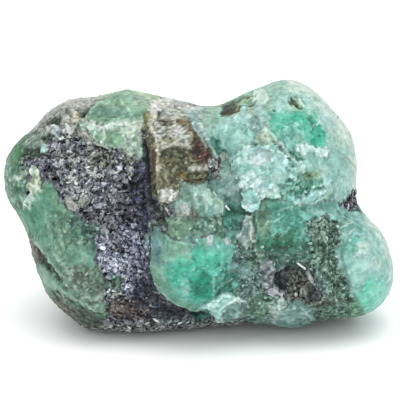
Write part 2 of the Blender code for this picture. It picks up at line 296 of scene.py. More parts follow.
# Kinds of stone: the grain size in mm, how much single grains differ, how high they stand in mm, then
# how speckled with mica, and how clear, from 0 to 1.
GLASSY = (0.9, 0.4, 0.03, 0, 0.7)
CLEAR = (0.8, 0.5, 0.045, 0, 0.6)
MILKY = (0.65, 0.6, 0.06, 0, 0.45)
LUMPY = (0.52, 0.8, 0.075, 0.05, 0.4)
GRITTY = (0.42, 0.9, 0.09, 0.25, 0.2)
SLOPING = (0.4, 1, 0.11, 0.7, 0.1)
SUGARY = (0.44, 0.8, 0.08, 0, 0.15)
CRUSTED = (0.42, 0.9, 0.06, 0.25, 0)
ROUGH = (0.32, 1.1, 0.09, 0, 0)
RUSTY = (0.42, 0.9, 0.07, 0, 0)
SHADED = (0.4, 1, 0.09, 0.4, 0)
FLAKY = (0.37, 1, 0.11, 1, 0)
DIM = (0.36, 1.05, 0.09, 0.55, 0)

# Styles: three tones from dark to light, and a kind of stone.
STYLES = {
    "hollow": ("0d1511 546257 a7b6a7", DIM),
    "cleft_green": ("123935 34645e 86b3ae", SHADED),
    "blue_soft": ("78a893 94bfad b3d6c8", CLEAR),
    "middle_slope": ("334e45 668c81 a6cac0", SLOPING),
    "pit_brown": ("2a312d 5d655f 99a398", DIM),
    "prism_gold": ("241d00 61531d 8a8254", RUSTY),
    "prism_dark": ("13140a 3f4224 828464", ROUGH),
    "grey_bit": ("869898 b0c0c0 dae5e3", SUGARY),
    "feather": ("b5d3c7 ddf2e7 fcffff", SUGARY),
    "chip_grain": ("6b857d 98aca6 c1cfca", SUGARY),
    "crust": ("5a6054 95998e d0d2c8", CRUSTED),
    "crust_rim": ("9b9d95 c3c6c0 e3e3df", CRUSTED),
    "crust_cream": ("90917b c7c7b0 eaead8", CRUSTED),
    "schist": ("0a0e1e 5e636e b5b9c2", FLAKY),
    "schist_green": ("121830 6d7572 c6ccc3", FLAKY),
    "schist_olive": ("181a16 505144 94947f", FLAKY),
    "schist_bright": ("3d4561 98a1b7 e0e8f6", FLAKY),
    "schist_lilac": ("111835 737b92 c2c9dd", FLAKY),
    "schist_navy": ("000004 0a0e26 484e6c", DIM),
    "schist_foot": ("000000 0e1227 4d5161", SHADED),
    "schist_rust": ("000000 2a0e09 8a7e76", DIM),
    "slope": ("2e4d3e 5a806e 91b6a2", SLOPING),
    "hole": ("030a06 1a271e 425148", RUSTY),
    "schist_dark": ("05070c 3c3f46 898c93", FLAKY),
    "schist_pale_olive": ("494f51 929993 d4dbd5", FLAKY),
    "curl": ("829d88 a9c3ac c9dcc6", LUMPY),
    "sea": ("7fb7aa a3d4ca c3e7e0", CLEAR),
    "moss_green": ("3d7153 75aa8c 9dd3b7", LUMPY),
    "brown_crumb": ("040100 423d1c 66603a", RUSTY),
    "left_green": ("075821 226f3d 5f996f", CLEAR),
    "left_specked": ("2d6648 53866b 9dc5b1", LUMPY),
    "left_grey": ("435547 6c8476 9fb5a5", LUMPY),
    "left_dark": ("041204 263a27 5c715b", SHADED),
    "cream": ("7a8c79 b7cab3 e2f1dd", SUGARY),
    "white": ("9ccbc2 ccefea f0ffff", SUGARY),
    "muted": ("4c7a67 68947d 8ab19a", CLEAR),
    "muted_bright": ("4f8a6f 69a388 8bbda4", GLASSY),
    "muted_deep": ("277b54 418f6b 69ae8c", CLEAR),
    "muted_dark": ("24342b 42574a 6d8577", LUMPY),
    "crease": ("2a281d 656353 a0a08e", CRUSTED),
    "top_green": ("678f72 83ad8d a8cbae", GLASSY),
    "jagged": ("799882 a8c3ae dbeede", LUMPY),
    "jagged_light": ("b2cbb4 d6e7d6 f2fdf0", MILKY),
    "prism_cream": ("5c5f46 a6a793 e9eade", ROUGH),
    "prism_white": ("8a8e86 bcbdb4 e8e8e0", ROUGH),
    "prism_olive": ("151701 4f5330 989b7d", ROUGH),
    "prism_green": ("49482c 757659 a6a688", RUSTY),
    "prism_grey": ("7c8173 a9afa1 d5d9cd", RUSTY),
    "prism_brown": ("170000 3f180d 7d5b4b", RUSTY),
    "prism_rust": ("55432e 856d4c b0a082", RUSTY),
    "prism_side": ("090b0b 34322b 746f60", CRUSTED),
    "ridge_olive": ("5d6238 888c56 aeb084", RUSTY),
    "pinkish": ("b5b8ac deddd2 fefdf6", SUGARY),
    "aqua": ("7eb3a5 9fd5c7 c4e8e0", GLASSY),
    "aqua_green": ("7eaf9b a1cabb c3dfd4", CLEAR),
    "plate": ("7db8ad a9d6cd d5f2eb", MILKY),
    "plate_lilac": ("abc9c5 c9dfdf e2eff0", CLEAR),
    "granule_green": ("287b61 57a68e 97d5c2", LUMPY),
    "olive_tint": ("89a382 a6bf99 c6d8b4", MILKY),
    "olive_spot": ("4a6c4c 7ba076 abcba4", SUGARY),
    "middle_pale": ("689384 90b8ab bddad0", MILKY),
    "middle_teal": ("58837a 78a097 9fc1bc", LUMPY),
    "middle_grit": ("426d5f 6c9885 a7ccbd", GRITTY),
    "olive_lump": ("467159 638b70 8bae92", LUMPY),
    "valley_green": ("206453 478e7c 85c2b2", LUMPY),
    "round_edge": ("5a8f79 78aa94 9ac4b0", GLASSY),
    "round_blue": ("4d7978 6f9793 93b6b3", GLASSY),
    "round_core": ("3fb19a 5fc9b2 8de2d2", GLASSY),
    "round_vivid": ("2ba483 4fc3a5 7cdbc2", CLEAR),
    "round_pale": ("62bbaa 83ccc0 a9dcd4", GLASSY),
    "round_dark": ("006d51 009072 1bb598", CLEAR),
    "round_grit": ("02604a 3a9780 8ad6c4", LUMPY),
    "block_white": ("93cdc3 b9e8df e4fdfa", MILKY),
    "low_pale": ("8aaba2 b3ccc5 daebe4", LUMPY),
    "right_green": ("4a8f7b 6cb7a4 99d8c8", MILKY),
    "right_bright": ("3d8e79 59a591 80c3b2", MILKY),
    "right_teal": ("609c90 84baaf aadad2", CLEAR),
    "right_dark": ("034c33 1c684b 448b72", LUMPY),
    "right_low": ("224b3c 3b6456 648d7c", GRITTY),
    "pit_wall": ("263337 495a5b 99a8a7", CRUSTED),
    "lilac_mica": ("2c3a3b 6f7d7f bac3cc", CRUSTED),
    "lobe_white": ("9fcec2 b9dbd3 d3e8e4", CLEAR),
    "lobe_bright": ("66d0b2 83dfc6 a7eedc", GLASSY),
    "margin": ("a8c9b7 cae1d4 e2eee3", GLASSY),
}

# What shows on the front, later patches over earlier ones: a style, how soft and how uneven the edge
# is in pixels, how far the patch stands proud in mm, and its outline.
FRONT_PATCHES = {
    "ground": ("schist", 1, 0, 0, "-20,60 420,60 420,360 -20,360"),
    "right_ground": ("middle_grit", 4, 3, 0,
        "206,60 420,60 420,360 250,350 248,318 214,318 206,300 204,236 180,236 176,208 182,182 204,180 "
        "212,160 206,148 192,128 178,110 184,60"),
    "crust": ("crust", 4, 4, 0,
        "10,150 22,128 45,100 75,80 112,80 104,102 92,112 94,124 84,132 62,136 52,140 36,148 26,148"),
    "crust_rim": ("crust_rim", 6, 3, 0,
        "20,138 40,108 62,90 80,84 112,84 102,101 84,102 62,108 46,120 34,132"),
    "crust_dark": ("left_dark", 4, 3, -0.1, "oval 55,123 7,6 0"),
    "crust_dark_right": ("left_dark", 3, 2, -0.1, "84,112 90,110 92,117 86,120 80,117"),
    "crust_cream": ("crust_cream", 3, 3, 0, "68,119 78,115 84,121 78,126 66,125"),
    "crust_foot": ("crust", 4, 4, 0, "60,126 72,122 88,122 96,132 96,142 84,144 70,142"),
    "crust_blue_bit": ("grey_bit", 1, 1, 0.15, "48,128 56,125 62,130 61,138 55,141 49,136"),
    "crust_cream_bit": ("pinkish", 1, 1, 0.15, "63,131 68,125 77,127 75,135 67,137"),
    "left_green": ("left_green", 4, 2, 0.15, "-10,166 0,130 22,132 30,136 28,146 24,156 22,166 6,170"),
    "left_specked": ("left_specked", 5, 3, 0.1, "-10,160 8,162 20,164 28,172 30,188 28,204 18,214 -10,208"),
    "left_low_dark": ("left_specked", 12, 2, 0.25, "oval 4,198 15,12 10"),
    "left_grey": ("left_grey", 4, 3, 0.1, "oval 40,142 16,11 0"),
    "left_dark_hole": ("left_dark", 3, 2, -0.25, "43,138 50,135 58,138 63,144 61,151 54,153 47,148"),
    "left_olive": ("left_dark", 3, 2, -0.1, "25,150 38,148 48,153 44,160 31,161 22,158"),
    "left_white_bit": ("middle_pale", 1, 1, 0.15, "42,148 47,144 51,149 47,154 42,153"),
    "lower_left": ("muted", 4, 2, 0.2,
        "14,214 28,205 40,202 43,186 47,181 54,183 60,196 67,208 76,215 85,219 90,229 94,241 97,255 "
        "100,265 105,275 107,284 111,294 108,304 104,340 20,340 10,240"),
    "left_white_low": ("feather", 1, 1, 0.15,
        "24,208 27,199 33,192 40,189 46,190 45,200 40,206 32,212 29,209 26,213"),
    "left_cream": ("cream", 1, 1, 0.15,
        "30,172 34,165 38,167 41,169 41,176 44,182 43,188 45,193 38,196 33,193 28,186 31,181 34,177"),
    "left_cream_tail": ("cream", 1.5, 1, 0.1, "16,177 22,175 27,170 30,173 24,180 17,182"),
    "lower_left_top": ("muted_bright", 12, 5, 0, "oval 48,217 26,16 80"),
    "lower_left_deep": ("muted_deep", 9, 4, 0, "oval 30,222 17,14 65"),
    "lower_left_middle": ("olive_lump", 12, 6, 0, "oval 65,235 24,13 70"),
    "lower_left_grey": ("right_low", 9, 5, -0.05, "oval 85,226 22,9 55"),
    "lower_left_pale": ("round_edge", 8, 4, 0, "oval 83,257 15,11 15"),
    "lower_left_grit": ("left_grey", 12, 6, 0, "oval 88,282 28,16 35"),
    # Painted shade: the lower left is darker along the stone's underside.
    "lower_left_low_shade": ("muted_dark", 8, 5, -0.1, "46,298 62,298 84,310 100,318 96,330 40,330"),
    "lower_left_foot_shade": ("muted_dark", 7, 4, 0, "60,312 76,304 92,306 104,316 110,345 60,345"),
    "lower_left_teal": ("round_edge", 6, 3, 0.05, "oval 51,284 15,8 40"),
    "lower_left_shadow": ("left_dark", 3, 2, -0.15, "oval 49,263 23,3.4 50"),
    # Painted shadow: the darkest core of the shadow in the lower left cleft.
    "lower_left_shadow_core": ("hole", 3, 1.5, -0.25, "oval 42,256 12,3.8 55"),
    "lower_left_crease": ("crease", 5, 2, -0.05, "oval 30,252 21,8 75"),
    "lower_left_brown": ("crease", 9, 5, 0, "oval 62,303 16,8 40"),
    "top_left": ("top_green", 2, 2, 0.2,
        "87,118 90,111 98,104 106,96 116,80 150,80 152,102 150,116 144,123 130,125 118,126 108,129 98,126 "
        "90,122"),
    "top_left_deep": ("muted", 5, 2.5, -0.05, "oval 110,113 20,8 0"),
    "top_left_top": ("curl", 6, 3, 0, "oval 117,90 22,5 -20"),
    "top_left_pale": ("curl", 10, 4, 0, "oval 140,95 13,9 70"),
    "top_left_rim": ("olive_tint", 6, 2, 0, "oval 149,93 14,8 30"),
    "jagged_piece": ("jagged", 2, 3, 0.3,
        "78,126 86,120 98,124 103,128 113,122 126,123 134,120 143,119 144,130 142,142 134,152 122,149 "
        "112,150 103,146 95,140 88,132"),
    "jagged_top": ("jagged_light", 4, 3, 0.05,
        "86,122 98,124 104,129 112,122 126,124 134,121 142,122 142,130 128,130 114,132 102,134 92,132"),
    "jagged_green": ("top_green", 5, 3, 0, "oval 112,139 16,8 15"),
    "jagged_teal": ("jagged", 5, 2.5, 0, "122,146 132,139 143,136 145,156 142,168 136,172 127,160"),
    "schist_top": ("schist_green", 8, 5, 0,
        "50,140 66,132 92,138 104,150 118,156 124,170 100,178 78,176 60,168 50,156"),
    "schist_top_dark": ("schist_olive", 5, 4, -0.1, "oval 103,152 12,4 35"),
    "schist_corner_dark": ("schist_dark", 4, 3, -0.1, "oval 60,147 12,6 5"),
    "schist_left_dark": ("schist_dark", 4, 3, -0.15, "oval 54,175 10,8 25"),
    "schist_olive_bits": ("schist_olive", 5, 4, 0, "oval 103,160 11,9 0"),
    "schist_olive_right": ("schist_pale_olive", 5, 4, 0, "oval 131,168 14,7 -65"),
    "schist_olive_middle": ("schist_dark", 6, 4, -0.1, "oval 118,211 19,12 85"),
    "schist_cream_bits": ("schist_pale_olive", 5, 4, 0.1, "oval 78,192 15,13 75"),
    "schist_edge_dark": ("schist_dark", 4, 3, -0.2, "oval 88,214 11,6 50"),
    "schist_bright": ("schist_bright", 5, 4, 0.1,
        "100,240 109,237 115,250 124,257 140,258 146,268 142,284 130,292 118,291 108,278 101,262"),
    "schist_lilac": ("schist_lilac", 7, 5, 0,
        "118,226 140,222 150,240 150,272 138,292 126,286 134,262 126,246"),
    # Partly painted shadow: the dark schist left of the prism is darkened further where the prism's shadow
    # falls.
    "schist_navy": ("schist_navy", 6, 4, -0.25, "134,166 148,156 152,190 152,236 142,236 132,212 130,186"),
    "schist_navy_low": ("schist_navy", 6, 4, -0.1, "oval 142,289 13,13 0"),
    # Painted shade: the schist is darker along the stone's underside.
    "schist_foot": ("schist_foot", 5, 4, -0.2,
        "132,296 154,290 172,303 196,314 214,316 200,322 150,322 134,314"),
    "schist_teal": ("slope", 4, 3, 0, "108,276 118,272 126,284 122,296 112,298"),
    "schist_grey_low": ("schist_green", 5, 4, 0, "oval 116,297 14,7 10"),
    "schist_rust": ("schist_rust", 5, 4, 0, "oval 127,310 20,11 10"),
    "foot_strip": ("schist_green", 5, 4, 0, "76,328 104,322 140,322 180,320 214,318 252,320 252,345 76,345"),
    "pinkish_top": ("pinkish", 3, 3, 0.1,
        "150,104 160,98 172,98 184,102 184,110 176,112 162,111 156,116 152,128 149,116"),
    "grey_top": ("crust_rim", 4, 3, 0, "160,84 190,88 214,92 210,108 196,113 184,110 174,104"),
    "blue_white": ("low_pale", 6, 3, 0, "184,110 204,104 210,120 210,136 214,150 206,150 196,134 190,122"),
    "upper_middle": ("aqua", 5, 3, 0.1,
        "206,104 222,90 252,84 258,110 256,128 252,150 242,158 238,174 232,184 220,180 214,164 210,150 "
        "206,132"),
    "upper_middle_blue": ("sea", 8, 4, 0, "oval 239,120 13,12 0"),
    "upper_middle_pale": ("blue_soft", 6, 4, 0, "oval 211,124 16,7 -90"),
    "upper_middle_rim": ("olive_tint", 5, 3, 0, "206,100 226,94 224,108 208,112"),
    "upper_middle_green": ("middle_pale", 8, 4, 0, "oval 224,164 25,11 65"),
    "prism_right_shade": ("valley_green", 6, 4, 0, "oval 215,148 10,7 55"),
    "upper_right": ("aqua_green", 5, 3, 0.1,
        "246,90 262,70 300,66 330,84 370,130 372,192 352,202 322,200 318,190 296,178 290,160 270,140 "
        "252,134 250,110"),
    "upper_right_top": ("margin", 7, 3, 0, "oval 311,91 36,13 35"),
    "upper_right_left_top": ("blue_soft", 7, 3, 0, "oval 269,86 20,11 -30"),
    "upper_right_aqua": ("aqua", 8, 4, 0, "oval 303,135 41,24 65"),
    "upper_right_green": ("middle_teal", 8, 4, -0.05, "oval 256,127 12,8 70"),
    "upper_right_vivid": ("round_vivid", 8, 4, -0.05,
        "270,118 284,112 300,110 312,118 322,130 324,144 316,150 306,144 298,135 286,132 276,136 270,128"),
    "upper_right_middle": ("right_green", 8, 5, 0.05, "oval 294,133 13,7 55"),
    "upper_right_teal": ("right_green", 9, 5, 0, "oval 285,138 11,6 65"),
    "upper_right_dark": ("round_vivid", 4, 3, -0.1, "oval 314,125 9,4 65"),
    # Paler towards the outline, partly the stone's own pale rim and partly painted reflection of the bright
    # room.
    "upper_right_rim_sheen": ("margin", 9, 4, 0,
        "322,104 344,110 362,140 366,192 350,198 341,172 336,142 328,122"),
    "upper_right_speckle": ("lobe_white", 7, 4, 0, "oval 328,119 14,8 65"),
    "upper_right_low": ("sea", 8, 4, 0, "oval 334,173 23,17 65"),
    "upper_right_fold": ("right_teal", 6, 4, 0, "oval 340,153 12,6 5"),
    "upper_right_wedge": ("valley_green", 3, 2, -0.15, "288,152 296,150 303,160 300,166 293,162"),
    "white_patch": ("white", 3, 3, 0.1, "296,148 304,142 312,146 326,150 324,157 312,154 302,156"),
    "white_patch_low": ("white", 4, 2, 0.1, "291,164 300,162 304,168 298,173"),
    "round_pale_lump": ("margin", 3, 1, 0.2, "251,98 254,92 261,90 267,94 268,101 264,107 256,107 252,104"),
    "notch_haze": ("olive_spot", 5, 3, -0.05, "oval 295,105 10,5 45"),
    "bit_by_brown": ("curl", 3, 1.5, 0.1, "247,109 254,105 256,112 250,117"),
    "brown_notch": ("brown_crumb", 3, 2, -0.2,
        "220,113 221,105 228,101 236,99 242,102 241,109 236,113 230,117 223,117"),
    "brown_notch_dark": ("hole", 4, 2, -0.05, "oval 227,109 6,4 -20"),
    "olive_notch": ("olive_spot", 4, 3, -0.1, "234,102 241,98 249,94 254,98 250,106 242,106 236,108"),
    "pale_plate": ("plate", 4, 3.5, 0.25,
        "234,158 240,147 254,146 272,146 286,156 296,172 300,182 288,188 284,198 262,199 250,203 240,198 "
        "238,184 234,172"),
    "plate_lilac": ("plate_lilac", 6, 3, 0, "oval 261,158 10,9 0"),
    "plate_white": ("white", 5, 4, 0.05, "oval 253,186 16,13 40"),
    "plate_aqua": ("sea", 7, 4, 0, "oval 278,174 14,12 65"),
    "olive_curl": ("curl", 4, 2, 0.05, "oval 264,140 8,6 -15"),
    "granules": ("granule_green", 6, 4, -0.12, "oval 300,188 21,10 -10"),
    "granule_olive": ("olive_spot", 4, 3, -0.05, "oval 308,175 8,4 -5"),
    "mint_band": ("block_white", 4, 3, 0.15, "286,200 296,195 310,193 320,188 324,194 312,204 294,206"),
    "right_green": ("right_green", 6, 3, 0,
        "252,214 262,200 286,200 296,206 314,204 340,204 348,214 334,222 312,224 310,262 286,266 262,258 "
        "252,238"),
    "right_teal": ("right_teal", 8, 4, 0.05, "oval 327,211 20,11 0"),
    "right_olive": ("olive_lump", 12, 4, 0, "oval 262,221 18,9 -85"),
    "right_bright": ("right_bright", 9, 5, 0.05, "oval 286,221 19,16 45"),
    "right_dark": ("right_dark", 9, 5, -0.1, "oval 280,244 26,12 0"),
    "right_low": ("right_low", 7, 4, 0, "256,250 306,250 306,266 286,270 262,264"),
    "slope": ("slope", 5, 4, 0,
        "304,222 322,216 336,220 340,240 342,262 346,282 354,296 364,310 350,330 250,326 252,300 254,282 "
        "260,264 286,268 304,262 308,240"),
    "slope_olive": ("slope", 8, 5, 0, "oval 332,311 27,19 -5"),
    "middle_grit": ("middle_slope", 6, 4, -0.05, "oval 244,271 27,18 85"),
    "grit_dark": ("slope", 5, 4, -0.1, "oval 249,256 15,10 15"),
    "grit_pale": ("middle_teal", 6, 4, 0, "oval 242,270 9,7 5"),
    "round_right": ("round_grit", 6, 3, 0.05, "oval 226,282 14,11 10"),
    "pit": ("pit_wall", 3, 2, 0,
        "273,270 280,266 290,264 300,266 308,272 312,278 318,284 322,291 314,297 300,298 285,294 278,288 "
        "272,280"),
    "pit_floor": ("pit_brown", 6, 4, 0.5, "oval 300,284 19,12 35"),
    "pit_slope": ("pit_brown", 12, 6, 0.9, "298,272 312,276 322,286 326,298 308,302 294,298 294,284"),
    "pit_below": ("schist_olive", 7, 4, 0, "oval 295,298 18,5 10"),
    "pit_rim": ("middle_slope", 5, 4, -0.05, "oval 319,282 15,5 60"),
    "pit_hollow": ("pit_wall", 3, 2, -0.3, "307,288 313,286 317,290 314,294 309,293"),
    "mica_plate": ("lilac_mica", 4, 2.5, 0.1,
        "262,262 268,256 273,264 273,280 277,288 270,290 262,284 259,272"),
    "dark_corner": ("schist_dark", 2, 2, -0.2,
        "338,203 346,200 350,192 358,188 372,200 368,214 352,212 342,208"),
    "lobe": ("sea", 8, 2, 0.1,
        "338,262 336,250 342,240 350,232 360,226 360,216 372,212 410,230 412,300 390,330 360,326 362,308 "
        "353,294 346,280 341,270"),
    "lobe_neck": ("right_teal", 6, 4, 0, "oval 353,225 17,12 -55"),
    "lobe_stripes": ("right_bright", 7, 3, 0, "oval 349,246 12,8 -55"),
    "lobe_white": ("lobe_white", 9, 4, 0.05, "oval 365,252 16,9 -90"),
    "lobe_white_left": ("aqua", 7, 3, 0, "oval 352,264 10,6 85"),
    "lobe_bright": ("lobe_bright", 10, 4, 0, "oval 371,294 18,15 -75"),
    # Paler towards the outline, partly the stone's own pale rim and partly painted reflection of the bright
    # room.
    "lobe_rim_sheen": ("margin", 9, 2, 0, "364,212 410,238 410,300 396,296 391,268 384,248 374,234 366,224"),
    "lobe_olive": ("moss_green", 5, 2, 0, "oval 355,311 12,6 75"),
    "middle_pale": ("middle_pale", 5, 3, 0.1,
        "180,183 206,181 211,192 210,206 206,216 190,216 176,214 170,206 173,200"),
    "middle_teal": ("middle_teal", 6, 3, 0, "oval 228,194 20,11 35"),
    "middle_dome": ("middle_pale", 6, 2, 0.15, "oval 214,209 12,9 70"),
    "middle_olive": ("crust", 7, 4, 0, "oval 189,220 14,11 65"),
    "valley": ("valley_green", 5, 3, -0.2, "oval 234,220 18,13 -70"),
    "chip_middle": ("block_white", 2, 2, 0.25,
        "240,192 250,190 258,194 260,202 257,209 250,213 244,210 242,202"),
    "chip_pinkish": ("chip_grain", 1.5, 2, 0.22,
        "245,213 250,219 253,227 255,235 253,242 247,248 241,247 238,241 236,233 240,226 243,219"),
    "olive_lump": ("olive_lump", 5, 3, 0.1, "oval 182,229 20,12 20"),
    "middle_specks": ("middle_grit", 6, 3, 0, "oval 209,228 17,11 20"),
    "round_crown": ("middle_teal", 6, 4, 0, "oval 193,239 9,6 0"),
    "brown_hollow": ("hollow", 5, 4, -0.15, "150,200 164,202 170,206 166,218 161,232 151,232"),
    # Partly painted shadow: a dark sunk strip at the prism's lower left, where its shadow falls.
    "prism_foot_gap_shadow": ("schist_foot", 4, 3, -0.2, "148,186 154,188 157,200 159,212 152,216 148,204"),
    "round_emerald": ("round_edge", 4, 1.2, 0.18,
        "153,234 158,230 166,233 173,240 184,242 196,243 205,237 214,236 224,238 231,244 233,256 229,264 "
        "228,270 226,280 222,288 215,296 208,306 199,311 189,309 178,304 168,298 160,290 154,280 151,265 "
        "151,246"),
    "round_blue": ("round_blue", 14, 4, 0, "oval 157,244 17,9 90"),
    "round_core": ("round_core", 14, 5, 0,
        "172,256 186,248 204,246 226,242 230,256 226,272 222,288 206,304 188,302 174,290 168,274"),
    "round_top_pale": ("blue_soft", 9, 4, 0, "oval 182,253 12,9 20"),
    "round_vivid": ("round_vivid", 9, 4, 0, "oval 180,270 13,8 -85"),
    "round_vivid_right": ("round_vivid", 10, 5, 0, "oval 207,259 15,9 -5"),
    "round_pale": ("round_pale", 6, 3, 0, "oval 185,287 7,5 85"),
    "round_pale_top": ("round_pale", 8, 4, 0, "oval 222,250 9,7 45"),
    # Partly painted shade: the round emerald's deep green is darker on its lower right, away from the light.
    "round_dark": ("round_dark", 8, 4, -0.05, "oval 204,285 16,12 -85"),
    "round_margin": ("round_grit", 8, 4, 0, "oval 222,274 16,7 -75"),
    "block": ("block_white", 2, 1.5, 0.15,
        "196,309 201,303 209,301 216,297 222,292 227,291 233,295 240,297 245,300 244,308 239,316 230,321 "
        "218,322 213,314 206,311"),
    "block_teal": ("middle_teal", 4, 2, 0, "oval 234,311 14,8 -35"),
    "low_cavity": ("valley_green", 3, 2, -0.2, "193,310 208,309 213,316 206,320 196,318"),
    "low_teal": ("middle_grit", 6, 4, 0.1, "oval 258,312 15,12 -85"),
    "low_column": ("low_pale", 4, 3, 0.1, "270,300 282,297 284,312 278,324 268,318"),
    "low_lump": ("middle_teal", 6, 3, 0.15, "oval 295,318 20,15 -40"),
    "low_dark_spot": ("cleft_green", 3, 2, -0.1, "244,318 254,317 254,326 244,326"),
    "prism": ("prism_olive", 2, 1.5, 0,
        "145,131 152,128 158,116 164,109 178,109 188,121 194,130 202,142 211,150 214,160 209,170 208,180 "
        "200,182 180,181 179,198 172,203 160,201 153,196 148,180 146,160"),
    "prism_top": ("prism_grey", 3, 3, 0, "156,120 160,112 166,107 178,106 188,120 176,122 164,120"),
    "prism_top_dark": ("prism_side", 3, 2, -0.08, "oval 162,125 11,4.5 5"),
    "prism_band": ("prism_cream", 5, 3, 0.05,
        "150,124 158,124 166,126 174,121 184,123 190,129 191,139 184,142 176,138 168,137 158,141 152,138"),
    "prism_band_white": ("prism_white", 4, 2.5, 0.05, "oval 178,133 9,6 0"),
    "prism_rust_top": ("prism_rust", 3, 2, 0, "177,120 186,121 190,126 192,131 188,130 183,125 177,124"),
    "prism_left_cream": ("prism_cream", 3, 2, 0, "157,138 160,138 160,166 159,188 157,182"),
    "prism_green": ("crust_cream", 5, 4, 0, "oval 171,145 10,6 5"),
    "prism_white_bits": ("prism_grey", 3, 3, 0.05, "180,136 188,136 192,146 186,150 180,144"),
    "prism_dark_middle": ("prism_dark", 7, 5, -0.05, "oval 175,158 12,12 0"),
    "prism_brown": ("prism_brown", 7, 4, 0, "oval 201,154 12,8 55"),
    "prism_rust_low": ("prism_gold", 3, 2, 0, "177,174 184,172 189,175 187,180 178,179"),
    "prism_pale_low": ("prism_grey", 3, 3, 0.05, "188,168 197,165 206,166 209,170 201,174 191,173"),
    "prism_green_low": ("prism_green", 5, 4, 0, "oval 166,181 10,9 70"),
    "prism_dark_low": ("prism_dark", 6, 3, -0.05, "192,174 208,172 208,180 192,182"),
    "prism_white_low": ("prism_white", 4, 2, 0.12, "160,190 170,188 179,190 178,198 171,203 161,201"),
    "prism_side": ("prism_side", 2, 1, 0,
        "144,140 151,138 154,144 155,160 154,178 153,194 151,202 148,190 146,160"),
    "dark_beside_prism": ("schist_navy", 3, 2.5, -0.1, "209,168 214,162 220,158 222,166 216,178 209,182"),
    "pale_bits_beside_prism": ("schist_pale_olive", 3, 2, 0.1, "209,160 216,158 221,168 218,178 211,178"),
    "yellow_ridge": ("ridge_olive", 2, 1.5, 0.1, "143,124 146,115 150,113 151,120 148,130 143,131"),
    "pinkish_bar": ("crust_cream", 2, 1.5, 0.1, "150,118 156,112 158,116 154,126 151,132 149,126"),
}

# The hidden back, drawn in the same pixels, so its left is the viewer's right from behind.
BACK_PATCHES = {
    "back_schist": ("schist", 5, 6, -0.1,
        "118,60 160,60 178,130 182,200 168,262 158,350 92,350 104,280 128,214 132,150"),
    "back_schist_lilac": ("schist_bright", 8, 6, 0, "oval 151,195 46,20 90"),
    "back_schist_navy": ("schist_navy", 6, 5, -0.1, "112,260 150,250 160,300 118,316"),
    "back_left": ("muted", 5, 4, 0.2, "20,160 60,120 112,124 124,160 122,214 98,280 84,310 50,290 30,240"),
    "back_left_pale": ("jagged", 4, 4, 0.2, "oval 90,149 25,20 20"),
    "back_left_light": ("jagged_light", 5, 4, 0, "72,136 98,134 104,148 84,156"),
    "back_left_teal": ("muted_bright", 9, 6, 0, "oval 68,218 36,27 -85"),
    "back_left_grit": ("left_grey", 7, 5, 0, "oval 75,277 25,21 75"),
    "back_middle": ("round_edge", 4, 3, 0.35, "oval 202,261 35,33 0"),
    "back_middle_core": ("round_core", 10, 5, 0, "oval 202,262 21,18 -70"),
    "back_middle_dark": ("round_dark", 8, 4, 0, "200,262 214,256 216,274 204,282"),
    "back_right": ("aqua", 5, 4, 0.2, "oval 286,165 71,56 65"),
    "back_right_margin": ("margin", 9, 5, 0, "300,104 344,130 348,200 322,214 316,160"),
    "back_right_vivid": ("round_vivid", 8, 5, 0, "oval 274,192 24,21 25"),
    "back_right_pale": ("plate", 6, 5, 0.1, "oval 284,143 30,20 0"),
    "back_right_green": ("right_green", 5, 5, 0,
        "246,232 300,240 346,226 366,260 352,296 300,306 256,290 240,260"),
    "back_right_bright": ("right_bright", 8, 5, 0, "282,250 322,246 330,276 296,286"),
    "back_right_schist": ("slope", 5, 6, -0.1, "232,226 300,236 344,216 352,232 300,252 240,246"),
    "back_notch": ("schist_olive", 5, 5, -0.1, "oval 208,159 63,22 90"),
    "back_notch_pale": ("middle_pale", 5, 4, 0.1, "oval 208,194 19,16 0"),
    "back_brown": ("prism_olive", 4, 4, 0.1, "oval 207,138 15,14 0"),
    "back_brown_cream": ("prism_cream", 4, 3, 0.05, "oval 207,129 9,7 0"),
}

